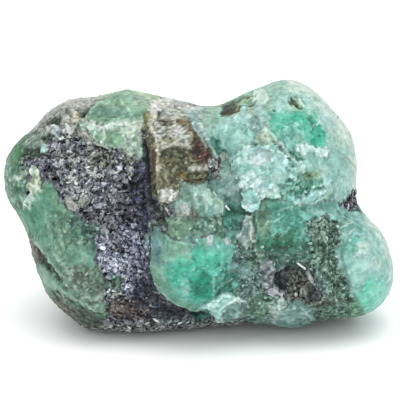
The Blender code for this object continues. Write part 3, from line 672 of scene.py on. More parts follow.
# Lines on the front: colour, half width in pixels, rise in mm, how strongly they colour, and their
# points, with a slash from one line to the next.
FRONT_LINES = {
    "schist_strokes": ("b2b4b2", 1, 0.1, 0.65,
        "83,166 91,157 100,149 / 87,165 95,157 104,151 / 128,176 133,168 131,162 / 104,190 112,196 118,206 "
        "/ 101,216 106,228 110,240 118,250"),
    "schist_gaps": ("08080e", 1.4, -0.2, 0.9,
        "93,145 99,148 107,151 115,149 / 95,175 104,170 / 87,206 93,199 / 120,188 127,190 / 118,198 "
        "121,204 122,210 / 98,160 103,156 107,158 103,163 / 95,180 101,182 / 46,168 54,172 61,178"),
    "lower_left_ridge": ("a5c2ac", 2, 0.08, 0.5, "39,242 44,249 51,258 58,267 66,276"),
    "lower_left_shade": ("232c26", 1.6, -0.1, 0.6, "35,244 42,252 49,261 57,271 64,279"),
    "lower_left_streaks": ("a9c4b2", 1.5, 0.07, 0.5,
        "62,288 70,292 78,298 / 78,298 88,304 97,310 / 56,252 64,262 72,272 / 78,243 83,241"),
    "lower_left_bands": ("8cb7a1", 2.8, 0.03, 0.43, "46,206 50,226 53,242 60,258 / 58,216 60,232 64,246"),
    "lower_left_grooves": ("36493e", 1.8, -0.06, 0.4,
        "66,296 76,302 88,310 100,314 / 84,308 96,318 106,326"),
    "jagged_rims": ("dfe9db", 1.5, 0.09, 0.6,
        "84,132 92,139 98,144 106,148 112,151 / 90,125 98,127 105,130 114,125 126,127 138,123 / 104,128 "
        "106,138 102,146"),
    "top_left_lights": ("b1d0b9", 1.5, 0.05, 0.52,
        "92,110 100,104 110,105 120,110 / 121,102 125,108 131,113"),
    "prism_edges": ("d7d0c2", 1.1, 0.07, 0.62, "156,113 154,121 151,130 / 152,128 155,134 157,144"),
    "prism_needle": ("dde6e2", 1, 0.12, 0.75, "210,146 214,152 217,158"),
    "prism_side_rust": ("6e4236", 1.2, 0.03, 0.6, "154,146 155,158 156,170 156,184"),
    "prism_side_edge": ("b9b7a0", 1.1, 0.06, 0.55, "157,138 158,154 158,172 158,184"),
    "prism_side_light": ("8b8a7a", 1, 0.04, 0.4, "150,136 152,152 153,170"),
    "prism_right_edge": ("3f2a20", 1.4, 0, 0.5, "189,124 195,134 202,143"),
    "prism_brown_edge": ("5c3a28", 1.1, 0.03, 0.55, "188,126 193,134 199,141 205,147"),
    "prism_dark_grain": ("23240f", 1.4, -0.06, 0.52,
        "166,150 172,156 180,158 186,166 / 176,146 182,152 186,150 / 162,176 166,184 160,190 / 170,157 "
        "176,162 174,168"),
    "prism_pale_grain": ("c3c2ad", 1.1, 0.06, 0.52,
        "178,143 184,147 188,145 192,150 / 162,168 168,172 166,178 170,184"),
    # A cleft left of the prism, darkened with painted shadow that the prism casts.
    "cleft_and_shadow_left_of_prism": ("0e0f1a", 2.8, -0.35, 0.8, "145,142 146,156 147,170 151,204"),
    "curved_ridge": ("cfe2d0", 1.1, 0.05, 0.5, "257,136 263,131 270,134 277,142 284,149 289,158 296,166"),
    "chip_clefts": ("16302a", 1.8, -0.18, 0.55,
        "240,213 247,214 253,213 253,222 / 252,216 254,228 252,238 / 236,240 240,244 244,248"),
    # Grooves round the left, lower and lower right rim of the round emerald, darkened with painted shade.
    "round_edges_shade": ("10181a", 2, -0.3, 0.75,
        "150,236 149,250 149,268 153,284 162,296 / 166,300 180,307 192,312 204,313"),
    "round_low_light": ("a9d3b6", 1.3, 0.03, 0.6, "164,291 172,299 184,307 194,310 202,308"),
    "round_right_edge_shade": ("0f4a3a", 2.4, -0.15, 0.7, "216,294 222,287 228,279"),
    "round_veins": ("a6d7bf", 1, 0.035, 0.57,
        "166,234 172,240 184,243 196,244 / 212,294 214,284 214,275 / 222,286 227,281 232,277"),
    "block_ridges": ("daf3ec", 1.2, 0.11, 0.65, "212,306 217,300 223,294 230,295 / 220,308 227,302 234,298"),
    "notch": ("1f241a", 2, -0.2, 0.85, "291,99 294,103 298,108"),
    "notch_lip": ("e4ecda", 0.9, 0.08, 0.6, "297,98 300,103 303,108"),
    "brown_lines": ("4c4c33", 1.6, -0.09, 0.65, "236,102 243,98 249,97 / 246,107 252,107 256,103"),
    "pit_left_shade": ("0a0a10", 3, -0.1, 0.6, "275,272 277,280 283,288"),
    "pit_rim_top": ("1a1e18", 1.8, -0.1, 0.6, "280,270 286,268 294,268"),
    "pit_maroon": ("3a1418", 2.8, 0, 0.6, "299,283 302,287 304,291"),
    "lobe_groove": ("5f8f7c", 2.2, -0.08, 0.4, "341,242 340,256 344,272 350,288 358,302"),
    "lobe_lights": ("d4e9e1", 1, 0.05, 0.55,
        "347,234 350,231 353,229 / 352,256 355,254 357,251 / 340,232 344,236 346,238 / 338,228 346,224 "
        "352,222 / 298,304 305,311 311,318"),
    "white_bars": ("daf0e7", 0.95, 0.055, 0.65, "315,126 319,122 / 310,130 313,125"),
    "deep_slit": ("1f5a44", 1.4, -0.1, 0.6, "306,119 311,123 312,131"),
    "margin_line": ("86a596", 1.3, -0.08, 0.5, "336,152 344,156 352,164 356,170"),
    "plate_step": ("35604e", 1.8, -0.15, 0.3, "250,203 264,200 284,200"),
    "bright_strokes": ("a6d0bf", 1.1, 0.05, 0.48,
        "266,222 274,221 282,216 / 278,238 284,232 288,226 / 276,212 284,208 292,207"),
    "olive_dark_line": ("1f2a20", 1.8, -0.2, 0.6, "163,214 166,222 168,230"),
    "middle_gap": ("1c3a30", 1.8, -0.15, 0.55, "214,215 217,223 216,232"),
}

# Small spots on the front: colour, half size in pixels, rise in mm, then where they are.
FRONT_SPOTS = {
    # Pale specks painted as glints, where light catches the stone.
    "glint_spots": ("dfeae2", 1.2, 0.06,
        "12,180 14,192 22,186 10,172 73,269 88,272 80,242 106,299 68,284 100,302 52,216 66,232 193,246 "
        "197,240 228,208 336,226 326,248 318,261 306,252 334,298 297,168 200,157 187,142 186,163 205,222 "
        "212,226 218,222 190,228 200,226 346,218 338,232 316,226 312,234 322,270 326,282 318,292 330,290 "
        "296,300 262,246 348,240"),
    "pale_green_flecks": ("a4dccb", 1.3, 0.03,
        "203,267 194,269 185,273 214,249 221,252 218,246 186,252 296,126 305,134 288,138 278,214 284,228 "
        "300,222 264,232 336,208 320,212 100,113 116,112 124,117 98,134 116,142 50,226 62,238 58,248 "
        "72,226"),
    "dark_flecks": ("10231c", 1.7, -0.18,
        "273,112 273,113 272,112 294,101 297,106 290,104 301,109 308,177 303,179 338,117 312,251 290,246 "
        "224,234 242,246 210,222 145,269 50,178 97,146 35,206 175,107 219,154 217,167 222,168 286,186 "
        "296,186 290,192 306,190 300,194 219,264 313,258 270,258"),
    "dark_green_flecks": ("00735a", 2.0, -0.06,
        "200,284 207,290 204,276 196,296 212,284 180,262 176,270 302,120 310,118 318,136 270,248 284,244 "
        "298,240 262,244 228,228 236,222 42,216 36,222 12,152 18,148 14,158"),
    "brown_flecks": ("54392a", 1.6, -0.05, "180,176 184,172 210,152 301,283 306,288 291,102"),
    "lilac_flecks": ("d8d6e6", 1.4, 0.06, "105,243 107,255 112,262 122,270 114,232 128,258 118,252"),
    "schist_dark_spots": ("0a0c18", 3.2, -0.15,
        "151,194 152,201 104,180 102,184 126,230 135,246 133,250 84,209 88,213 93,218 108,275 111,280 "
        "86,182 63,178 56,176 130,228 60,202"),
    "schist_light_spots": ("d2d6e6", 2.6, 0.10,
        "98,199 100,205 65,162 122,266 119,263 140,270 141,276 130,284 134,287 135,220 76,191 74,195 "
        "97,189 62,163 58,165 105,246 118,271 123,275 132,290 84,160 122,168"),
}

# Chips that stand on the skin as crystals of their own: tones, rise in mm, outline in pixels.
CHIPS = {
    "chip_white_middle": ("8fa59d d3dfd9", 0.12, "180,207 184,202 188,204 191,210 188,216 183,213"),
    "chip_white_round": ("9fbab8 e3f2f3", 0.18, "206,237 210,234 213,235 213,241 211,246 207,243"),
    "chip_grey_round": ("90a9a6 cfdfde", 0.16, "223,239 227,236 231,240 230,244 226,245"),
    "mica_star": ("7f828c e2e5ee", 0.22,
        "264,291 268,288 272,287 273,283 277,285 279,289 284,291 281,296 277,293 272,295 267,293"),
    "mica_lump_1": ("4d5350 b3b9b2", 0.16, "79,202 82,196 88,194 92,196 92,201 88,206 84,208 80,206"),
    "mica_lump_2": ("5d6058 cfcfc6", 0.16, "68,203 73,200 78,203 80,208 76,211 70,209"),
    "chip_beside_prism": ("6f8678 c9d6c6", 0.16, "219,157 222,152 227,154 225,160 222,162"),
    # Facets in the pit, tinted up to white as painted highlight.
    "pit_glint_facets": ("b4c0c6 ffffff", 0.7, "304,271 307,269 310,273 313,279 311,283 307,278"),
}

# Needles that lie on the skin: material, colour, width and lift over the skin in mm, and their ends.
RODS = {
    "rod": ("emerald", "b3cdbd", 0.22, 0.12, "213,192 228,209"),
    "rod_tip": ("emerald", "eef6f2", 0.26, 0.12, "225.5,206 228.5,209.5"),
    # The needle in the pit is white as painted highlight.
    "pit_needle_glint": ("mica_schist", "ffffff", 0.28, 0.5, "296,262 304,268"),
}

# Loose crystals on each half of the skin: how many, their least and greatest width in mm, how much
# they tilt, and how deep they are sunk, as a share of half their width. Then their kinds: how often,
# how much lighter or darker than the skin, the colour they lean to, and how far.
MICA = (4800, (0.50, 1.15), 0.08, 0.12, (
    (2.5, 0.3, "0a0b1c", 0.5),
    (3, 0.75, "5a5a6a", 0.2),
    (3.5, 1.3, "9092a2", 0.3),
    (3, 1.9, "cfd1dc", 0.45),
    (1, 0.9, "8a8672", 0.4),
))
GRAINS = (2600, (0.28, 0.70), 0.3, 0.25, (
    (3, 0.75, "4a6a5c", 0.1),
    (4, 1.0, "8aa596", 0.1),
    (3, 1.25, "b5ccc0", 0.2),
    (0.6, 1.6, "e6efe8", 0.5),
))


# ---------------------------------------------------------------- the skin

def link(name, data):
    """A new object with this data, in the scene."""
    thing = bpy.data.objects.new(name, data)
    bpy.context.scene.collection.objects.link(thing)
    return thing


def skin_from_cad():
    """A fine even mesh wrapped round the CAD solid."""
    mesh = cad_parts[NODE].data.copy()
    rough = link("skin_source", mesh)
    remesh = rough.modifiers.new("fine", "REMESH")
    remesh.mode = "VOXEL"
    remesh.voxel_size = SKIN_CELL * MM
    graph = bpy.context.evaluated_depsgraph_get()
    fine = bpy.data.meshes.new_from_object(rough.evaluated_get(graph))
    bpy.data.objects.remove(rough, do_unlink=True)
    bpy.data.meshes.remove(mesh)
    return fine


def fetched(items, field, width, kind=np.float32):
    """One field of all the parts of a mesh, in rows of this width."""
    flat = np.empty(len(items) * width, kind)
    items.foreach_get(field, flat)
    return flat.reshape(-1, width)


def mesh_normals(mesh):
    return fetched(mesh.vertex_normals, "vector", 3).astype(float)


def near_average(values, pairs):
    """For each vertex, the average over the vertices that it is paired with."""
    total = np.bincount(pairs[:, 0], weights=values[pairs[:, 1]], minlength=len(values))
    return total / np.bincount(pairs[:, 0], minlength=len(values))


def relaxed(points, pairs, strength):
    """Points pulled to the average of their neighbours, to round off the CAD's facets."""
    for _ in range(SKIN_SMOOTHINGS):
        for axis in range(3):
            near = near_average(points[:, axis], pairs)
            points[:, axis] += strength * (near - points[:, axis])
    return points


class Skin:
    """Face points of the skin, with what each is made of."""

    def __init__(self, points):
        count = len(points)
        self.points = points
        self.tint = np.zeros((count, 3))
        self.rise, self.speckle, self.clear, self.frost = (np.zeros(count) for _ in range(4))
        self.uneven = noise_pair(points, 1.1, 40, 3)
        self.drift = noise_pair(points, 2.0, 70, 2)
        coarse, small = (grains(points, size, seed)[1] for size, seed in ((0.62, 90), (0.34, 91)))
        self.jagged = 1.3 * (hashed(coarse, 92) - 0.5) + 0.9 * (hashed(small, 93) - 0.5)
        reach = FRONT_REACH + FRONT_REACH_UNEVEN * rough_noise(points, 5.0, 7, 3)
        self.front = smooth(points[:, 1] - reach, 0.4, -0.4)

    def style_look(self, name, rows):
        """Tint, rise, speckle, clearness and frost of one style at these rows."""
        tones, (size, differ, height, speckle, clear) = STYLES[name]
        # Clear stone is frosted where its grains stand high.
        frost = 0.15 + 2.2 * max(height - 0.03, 0) if clear > 0.15 else 0.0
        points = self.points[rows]
        seed = sorted(STYLES).index(name)
        offset, cell, gap = grains(points + 0.15 * self.uneven[rows, :1], size, seed)
        single = hashed(cell, seed + 5)
        slow = 0.5 + 0.45 * rough_noise(points, size * 2.6, seed + 60) + 0.3 * self.drift[rows, 0]
        value = np.clip(slow + differ * (single - 0.5), 0, 1)
        lean = np.stack([hashed(cell, seed + 20 + axis) - 0.5 for axis in range(3)], axis=1)
        facets = (offset * lean).sum(axis=1) / size
        edge = smooth(gap, 0.0, 0.25 * size) - 1
        rise = height * (2.2 * facets + (single - 0.5)) + 0.35 * height * edge
        warm = 1 + np.outer(0.08 * self.drift[rows, 1], (1, 0.1, -0.7))
        return tone(tones, value) * warm, rise, speckle, clear, frost

    def lay(self, patches, depth, side):
        """Lays patches over the skin, in the pixels of the view that depth leads away from."""
        across, down = unrolled(self.points, depth)
        for style, soft, uneven, proud, text in patches.values():
            outline = places(text)
            room = soft + 2.5 * uneven + 4
            near = side > 0
            for pixel, edge in zip((across, down), zip(*outline)):
                near = near & (pixel > min(edge) - room) & (pixel < max(edge) + room)
            rows = np.flatnonzero(near)
            if not len(rows):
                continue
            x = across[rows] + uneven * self.uneven[rows, 0]
            y = down[rows] + uneven * self.uneven[rows, 1]
            inside = outline_depth(x, y, outline) + 0.9 * uneven * self.jagged[rows]
            share = smooth(inside, -soft / 2, soft / 2) * side[rows]
            # Painted shade darkens the skin just outside a patch that stands proud or lies sunk.
            foot = smooth(inside, -3.5, -0.5) * (1 - share) * min(abs(proud) / 0.3, 1)
            self.tint[rows] *= (1 - 0.4 * foot * side[rows])[:, None]
            tint, rise, *others = self.style_look(style, rows)
            fields = (self.tint, self.rise, self.speckle, self.clear, self.frost)
            for field, value in zip(fields, (tint, rise + proud, *others)):
                field[rows] = blend(field[rows], value, share)

    def draw(self, lines, spots):
        """Draws the lines and then the spots of the front."""
        across, down = unrolled(self.points, self.points[:, 1])
        x = across + 0.6 * self.uneven[:, 0]
        y = down + 0.6 * self.uneven[:, 1]
        for code, width, rise, strong, text in lines.values():
            for line in text.split(" / "):
                away, along = line_distance(x, y, places(line))
                thin = np.sqrt(np.clip(np.sin(np.pi * np.clip(along, 0.02, 0.98)), 0, 1))
                share = smooth(away / (width * (0.4 + 0.6 * thin)), 1.5, 0.3) * self.front
                self.tint = blend(self.tint, lit(code), strong * share)
                self.rise += rise * share
                self.speckle *= 1 - strong * share
        rng = np.random.default_rng(5)
        for code, size, rise, text in spots.values():
            for x0, y0 in places(text):
                turn, narrow = rng.uniform(0, math.pi), rng.uniform(0.35, 0.8)
                wide = size * rng.uniform(0.6, 1.3)
                x = across - x0 + 0.8 * self.uneven[:, 0]
                y = down - y0 + 0.8 * self.uneven[:, 1]
                along = x * math.cos(turn) + y * math.sin(turn)
                over = (y * math.cos(turn) - x * math.sin(turn)) / narrow
                share = smooth(np.hypot(along, over) / wide, 1.4, 0.5) * self.front
                self.tint = blend(self.tint, lit(code), 0.7 * share)
                self.rise += rise * share


def ridges_and_crevices(points, normals, pairs):
    """Over 1 on ridges, which are rubbed pale, and under 1 in crevices, which come out darker."""
    near = np.stack([near_average(points[:, axis], pairs) for axis in range(3)], axis=1)
    proud = ((points - near) * normals).sum(axis=1)
    for _ in range(2):
        proud = 0.5 * proud + 0.5 * near_average(proud, pairs)
    return np.exp(np.clip(proud / FULL_WEAR, -1.0, 0.8) * WEAR)


def crisp_places(points):
    """1 where the skin is rounded freely, less on the flat-faced crystals."""
    keep = np.ones(len(points))
    for name in CRISP_PATCHES:
        inside = outline_depth(*pixels_of(points), places(FRONT_PATCHES[name][4]))
        keep = np.minimum(keep, blend(1.0, CRISP_SMOOTHING, smooth(inside, -4, 0)))
    return keep


def add_tint(mesh, values, domain="POINT"):
    layer = mesh.attributes.new("tint", "FLOAT_COLOR", domain)
    colours = np.concatenate([values, np.ones((len(values), 1))], axis=1)
    layer.data.foreach_set("color", colours.astype(np.float32).ravel())


def make_skin():
    mesh = skin_from_cad()
    edges = fetched(mesh.edges, "vertices", 2, np.int32)
    pairs = np.concatenate([edges, edges[:, ::-1]])
    points = to_face(fetched(mesh.vertices, "co", 3, float))
    points = relaxed(points, pairs, 0.5 * crisp_places(points))
    mesh.vertices.foreach_set("co", to_world(points).ravel())
    mesh.update()
    normals = mesh_normals(mesh) @ LEAN

    skin = Skin(points)
    skin.lay(FRONT_PATCHES, points[:, 1], np.ones(len(points)))
    skin.lay(BACK_PATCHES, -points[:, 1], 1 - skin.front)
    skin.draw(FRONT_LINES, FRONT_SPOTS)

    standing = smooth(to_world(points)[:, 2] / MM, *FLAT_FOOT)
    lifted = points + normals * (skin.rise * standing)[:, None]
    skin.tint *= ridges_and_crevices(lifted, normals, pairs)[:, None]
    skin.world = to_world(lifted)
    skin.world[:, 2] = np.maximum(skin.world[:, 2], 0)
    mesh.vertices.foreach_set("co", skin.world.ravel())
    mesh.update()
    skin.normals = mesh_normals(mesh)
    add_tint(mesh, skin.tint)
    for name in ("speckle", "clear", "frost"):
        layer = mesh.attributes.new(name, "FLOAT", "POINT")
        layer.data.foreach_set("value", getattr(skin, name).astype(np.float32))
    return mesh, skin


def half_of(mesh, skin, name, front_half):
    """The front or the back half of the skin, shaded as one surface with the other half."""
    half = mesh.copy()
    half.name = name
    shape = bmesh.new()
    shape.from_mesh(half)
    middle = to_face(np.array([tuple(face.calc_center_median()) for face in shape.faces]))[:, 1]
    drop = [f for f, depth in zip(shape.faces, middle) if (depth < HALF_DEPTH) != front_half]
    number = shape.verts.layers.int.new("number")
    for vert in shape.verts:
        vert[number] = vert.index
    bmesh.ops.delete(shape, geom=drop, context="FACES")
    kept = [vert[number] for vert in shape.verts]
    shape.verts.layers.int.remove(number)
    shape.to_mesh(half)
    shape.free()
    half.shade_smooth()
    half.normals_split_custom_set_from_vertices([tuple(n) for n in skin.normals[kept]])
    return link(name, half)


# ---------------------------------------------------------------- materials

class Nodes:
    """Short ways to add and join the nodes of one material."""

    def __init__(self, name):
        self.material = bpy.data.materials.new(name)
        self.material.use_nodes = True
        self.surface = self.material.node_tree.nodes["Principled BSDF"]
        self.place = self.add("TexCoord", {}, "Object")

    def put(self, sockets, values):
        """Sets sockets, by name or number, to a value or to what another node gives."""
        for key, value in values.items():
            if isinstance(value, bpy.types.NodeSocket):
                self.material.node_tree.links.new(value, sockets[key])
            else:
                sockets[key].default_value = value

    def add(self, kind, values, output=0, **settings):
        """One output of a new node with these inputs and settings."""
        node = self.material.node_tree.nodes.new("ShaderNode" + kind)
        for setting, value in settings.items():
            setattr(node, setting, value)
        self.put(node.inputs, values)
        return node.outputs[output]

    def attribute(self, name, output="Fac"):
        return self.add("Attribute", {}, output, attribute_name=name)

    def noise(self, size, detail=3.0, rough=0.6):
        look = {"Vector": self.place, "Scale": 1 / (size * MM), "Detail": detail, "Roughness": rough}
        return self.add("TexNoise", look, "Fac")

    def cells(self, size, feature, output="Distance"):
        look = {"Vector": self.place, "Scale": 1 / (size * MM)}
        return self.add("TexVoronoi", look, output, feature=feature)

    def random_pair(self, size):
        """Two random numbers from 0 to 1 for each cell of this size."""
        colour = self.cells(size, "F1", "Color")
        return [self.add("SeparateColor", {0: colour}, i) for i in range(2)]

    def sums(self, operation, *values):
        """One sum after another, from left to right."""
        return functools.reduce(
            lambda a, b: self.add("Math", {0: a, 1: b}, operation=operation), values
        )

    def plus(self, *values):
        return self.sums("ADD", *values)

    def times(self, *values):
        return self.sums("MULTIPLY", *values)

    def spread(self, value, low, high, to_low=0.0, to_high=1.0):
        return self.add("MapRange", dict(enumerate((value, low, high, to_low, to_high))))

    def mix(self, share, a, b):
        return self.add("Mix", {0: share, 6: a, 7: b}, 2, data_type="RGBA")

    def scaled(self, colour, factor):
        return self.add("VectorMath", {0: colour, "Scale": factor}, operation="SCALE")

    def bump(self, height, strength, distance):
        look = {"Height": height, "Strength": strength, "Distance": distance * MM}
        return self.add("Bump", look, "Normal")


def rgba(code):
    return (*linear(code), 1.0)


def skin_material():
    """Emerald and schist in one skin: the tint says which, and fine grain is laid over it."""
    n = Nodes("emerald_in_schist")
    tint = n.attribute("tint", "Color")
    speckle, clear, frost = map(n.attribute, ("speckle", "clear", "frost"))

    # Mottling, from broad to fine, and grains that differ where the stone is frosted.
    slow = n.noise(0.9, 4.0, 0.65)
    fine = n.noise(0.22)
    mottled = n.plus(n.spread(slow, 0.3, 0.7, -0.15, 0.15), n.spread(fine, 0.3, 0.7, 0.86, 1.14))
    grain = n.random_pair(0.5)
    uneven = n.times(n.plus(grain[0], -0.5), n.plus(frost, 0.2))
    colour = n.scaled(tint, n.plus(mottled, uneven))

    # Pale rime between frosted grains, dark hairline cracks and pale specks painted as glints in the clear
    # stone.
    border = n.spread(n.cells(0.7, "DISTANCE_TO_EDGE"), 0.02, 0.10, 1.0, 0.0)
    rime = n.times(border, frost, n.spread(slow, 0.42, 0.6))
    pale = n.mix(0.3, n.scaled(tint, 1.55), rgba("e4f4ee"))
    colour = n.mix(n.times(rime, 0.8), colour, pale)
    crack = n.spread(n.cells(1.5, "DISTANCE_TO_EDGE"), 0.0, 0.035, 1.0, 0.0)
    crack = n.times(crack, clear, n.spread(n.noise(1.7), 0.45, 0.6))
    colour = n.mix(n.times(crack, 0.22), colour, n.scaled(tint, 0.5))
    flecks = n.times(n.spread(n.noise(0.16, 2.0), 0.66, 0.74), n.plus(frost, 0.15))
    colour = n.mix(n.times(clear, 1.6, flecks), colour, pale)

    # Dark spaces between the schist's flakes, partly painted shade, and bright flakes in the schist.
    single = n.random_pair(0.34)
    lights = n.times(n.spread(single[0], 0.62, 0.72), speckle)
    gaps = n.sums("MAXIMUM", n.spread(single[1], 0.45, 0.55), n.spread(n.noise(0.3, 1.0), 0.48, 0.40))
    gaps = n.times(gaps, speckle)
    flake = n.mix(0.3, n.scaled(tint, 2.0), rgba("a6a5b4"))
    colour = n.mix(n.times(gaps, 0.92), colour, n.scaled(tint, 0.10))
    colour = n.mix(n.times(lights, 0.5), colour, flake)

    rough = n.spread(n.noise(0.4, 4.0), 0.3, 0.7, 0.38, 0.60)
    matt = n.sums("MAXIMUM", gaps, n.times(speckle, 0.6))
    grit = n.plus(fine, n.times(speckle, 1.5, single[0]), n.times(frost, 2.0, grain[1]))
    n.put(n.surface.inputs, {
        "Base Color": colour,
        "Roughness": n.plus(rough, n.times(clear, -0.14)),
        "Specular IOR Level": n.plus(n.times(matt, -0.3), 0.32),
        "Subsurface Weight": n.times(clear, 0.3),
        "Subsurface Radius": (0.5, 1.0, 0.8),
        "Subsurface Scale": 0.7 * MM,
        "Normal": n.bump(grit, 0.6, 0.06),
    })
    return n.material


def chip_material(name, roughness=0.4):
    """Small crystals and flakes: a tint of their own with fine grain and a soft gloss."""
    n = Nodes(name)
    fine = n.noise(0.18)
    n.put(n.surface.inputs, {
        "Base Color": n.scaled(n.attribute("tint", "Color"), n.spread(fine, 0.3, 0.7, 0.82, 1.15)),
        "Roughness": n.spread(n.noise(0.3), 0.3, 0.7, roughness - 0.1, roughness + 0.1),
        "Normal": n.bump(fine, 0.4, 0.03),
    })
    return n.material


# ---------------------------------------------------------------- flakes and chips

def surface_of(mesh):
    points = [tuple(vert.co) for vert in mesh.vertices]
    return BVHTree.FromPolygons(points, [tuple(face.vertices) for face in mesh.polygons])


def mesh_object(name, points, faces, tints, material):
    """A new piece, with a tint for each face where there are as many, or else for each corner."""
    mesh = bpy.data.meshes.new(name)
    mesh.from_pydata([tuple(p) for p in points], [], faces)
    mesh.update()
    add_tint(mesh, tints, "FACE" if len(tints) == len(faces) else "POINT")
    mesh.materials.append(material)
    return link(name, mesh)


def plate_shape(rng, count):
    """Thin six-sided flakes, one unit across, each dished a little and unevenly pale."""
    turn = np.arange(6) * math.pi / 3
    reach = rng.uniform(0.55, 1.15, (count, 6))
    narrow = rng.uniform(0.15, 0.48, (count, 1))
    rim = np.stack([reach * np.cos(turn), reach * narrow * np.sin(turn), np.zeros((count, 6))], axis=2)
    thick = np.zeros((count, 1, 3))
    thick[:, 0, 2] = rng.uniform(0.07, 0.14, count)
    middle = thick * rng.uniform(0.2, 1.0, (count, 1, 1))
    corners = np.concatenate([rim + thick, rim - thick, middle], axis=1)
    faces = [(i, (i + 1) % 6, 12) for i in range(6)] + [tuple(range(11, 5, -1))]
    faces += [(i, i + 6, (i + 1) % 6 + 6, (i + 1) % 6) for i in range(6)]
    shade = rng.uniform(0.8, 1.3, (count, 1)) * rng.uniform(0.75, 1.2, (count, 13))
    return corners, faces, shade


def grain_shape(rng, count):
    """Blunt irregular grains, one unit across and about half as high."""
    shape = bmesh.new()
    bmesh.ops.create_icosphere(shape, subdivisions=1, radius=1.0)
    ball = np.array([tuple(vert.co) for vert in shape.verts])
    faces = [tuple(vert.index for vert in face.verts) for face in shape.faces]
    shape.free()
    stretch = rng.uniform((0.6, 0.6, 0.3), (1.1, 1.1, 0.55), (count, 1, 3))
    corners = ball * stretch * rng.uniform(0.75, 1.15, (count, len(ball), 1))
    return corners, faces, rng.uniform(0.75, 1.25, (count, len(ball)))


def scatter(name, skin, weight, shape, crystals, shrink, material, seed):
    """Many small crystals on the skin, most of them where weight is high, tinted from what is there."""
    count, widths, tilt, sunk, looks = crystals
    weight = np.clip(weight, 0, None)
    rng = np.random.default_rng(seed)
    rows = rng.choice(len(weight), size=count, replace=False, p=weight / weight.sum())
    rng = np.random.default_rng(seed + 1)
    normal = skin.normals[rows] + rng.normal(0, tilt, (count, 3))
    normal /= np.linalg.norm(normal, axis=1)[:, None]
    side = np.cross(normal, rng.normal(size=(count, 3)))
    side /= np.linalg.norm(side, axis=1)[:, None]
    axes = np.stack([side, np.cross(normal, side), normal], axis=1)
    radius = rng.uniform(*widths, count) / 2 * MM * shrink[rows]
    corners, plan, shade = shape(rng, count)
    middle = skin.world[rows] - normal * (radius * sunk)[:, None]
    points = np.einsum("kcj,kji->kci", corners * radius[:, None, None], axes) + middle[:, None, :]
    points[:, :, 2] = np.maximum(points[:, :, 2], 0)
    often, lighter, codes, lean = map(np.array, zip(*looks))
    kinds = rng.choice(len(looks), size=count, p=often / sum(often))
    lighter = lighter[kinds] * rng.uniform(0.85, 1.15, count)
    towards = np.array([lit(code) for code in codes])[kinds]
    tint = blend(skin.tint[rows] * lighter[:, None], towards, lean[kinds])
    per = corners.shape[1]
    faces = [tuple(per * k + i for i in face) for k in range(count) for face in plan]
    tints = (tint[:, None, :] * shade[:, :, None]).reshape(-1, 3)
    return mesh_object(name, points.reshape(-1, 3), faces, tints, material)


def on_skin(x, y, surface):
    """Where the line of sight through a pixel meets the skin."""
    before = ((x - FACE_PIXEL[0]) * PIXEL, BEFORE_STONE, (FACE_PIXEL[1] - y) * PIXEL)
    return np.array(surface.ray_cast(Vector(to_world(before)), Vector(-TO_VIEWER))[0])


def chip_on_skin(name, tones, rise, outline, surface, seed):
    """A small rough crystal with many facets, which stands on the skin inside this outline."""
    rng = np.random.default_rng(seed)
    spots = [Vector(corner) for corner in outline]
    for at in itertools.product(*(np.arange(min(v) + 1, max(v), CHIP_FACET) for v in zip(*outline))):
        at = at + rng.uniform(-CHIP_JITTER, CHIP_JITTER, 2)
        if outline_depth(at[:1], at[1:], outline)[0] > CHIP_MARGIN:
            spots.append(Vector(at))
    rim = list(range(len(outline)))
    plan, _, triangles, *_ = delaunay_2d_cdt(spots, [], [rim], 1, 1e-4)
    x, y = np.array(plan).T
    inward = outline_depth(x, y, outline)
    dome = 0.15 + 0.85 * smooth(inward, -0.1, 0.7 * inward.max())
    height = rise * dome * rng.uniform(0.75, 1.2, len(x))
    ground = np.array([on_skin(px, py, surface) for px, py in zip(x, y)])
    top = ground + TO_VIEWER * (height * MM)[:, None]
    low = ground - TO_VIEWER * CHIP_ROOT * MM
    count = len(top)
    faces = [tuple(t) for t in triangles] + [tuple(count + i for i in reversed(t)) for t in triangles]
    for t in triangles:
        for i, j in zip(t, t[1:] + t[:1]):
            if sum(1 for u in triangles if i in u and j in u) == 1:
                faces.append((j, i, count + i, count + j))
    dark, light = map(lit, tones.split())
    tints = np.tile(dark, (len(faces), 1))
    tints[:len(triangles)] = dark + (light - dark) * rng.uniform(0.0, 1.0, (len(triangles), 1))
    chip = mesh_object(name, np.concatenate([top, low]), faces, tints, chip_material(name))
    shape = bmesh.new()
    shape.from_mesh(chip.data)
    bmesh.ops.recalc_face_normals(shape, faces=shape.faces)
    shape.to_mesh(chip.data)
    shape.free()
    return chip


def rod_on_skin(name, code, width, lift, ends, surface):
    """A slim six-sided crystal that lies half sunk in the skin between two pixels."""
    start, stop = (on_skin(x, y, surface) for x, y in ends)
    along = (stop - start) / np.linalg.norm(stop - start)
    side = np.cross(along, TO_VIEWER)
    side /= np.linalg.norm(side)
    up = np.cross(side, along)
    points = []
    for end, above in ((start, lift), (stop, lift + ROD_TILT)):
        for i in range(6):
            turn = math.radians(60 * i + 30)
            across = side * math.cos(turn) + up * math.sin(turn)
            points.append(end + TO_VIEWER * above * MM + across * width / 2 * MM)
    faces = [tuple(range(5, -1, -1)), tuple(range(6, 12))]
    faces += [(i, (i + 1) % 6, (i + 1) % 6 + 6, i + 6) for i in range(6)]
    tints = np.tile(linear(code) * ROD_HIGHLIGHT_SHARE, (12, 1))
    return mesh_object(name, points, faces, tints, chip_material(name))


# ---------------------------------------------------------------- room, lights and camera

def make_floor():
    n = Nodes("pale_floor")
    colour = n.mix(n.noise(40.0), rgba("f6f6f5"), rgba("faf9f8"))
    n.put(n.surface.inputs, {"Base Color": colour, "Roughness": 0.9})
    mesh = bpy.data.meshes.new("floor")
    shape = bmesh.new()
    bmesh.ops.create_circle(shape, cap_ends=True, segments=64, radius=FLOOR_RADIUS)
    shape.to_mesh(mesh)
    shape.free()
    mesh.materials.append(n.material)
    link("floor", mesh)


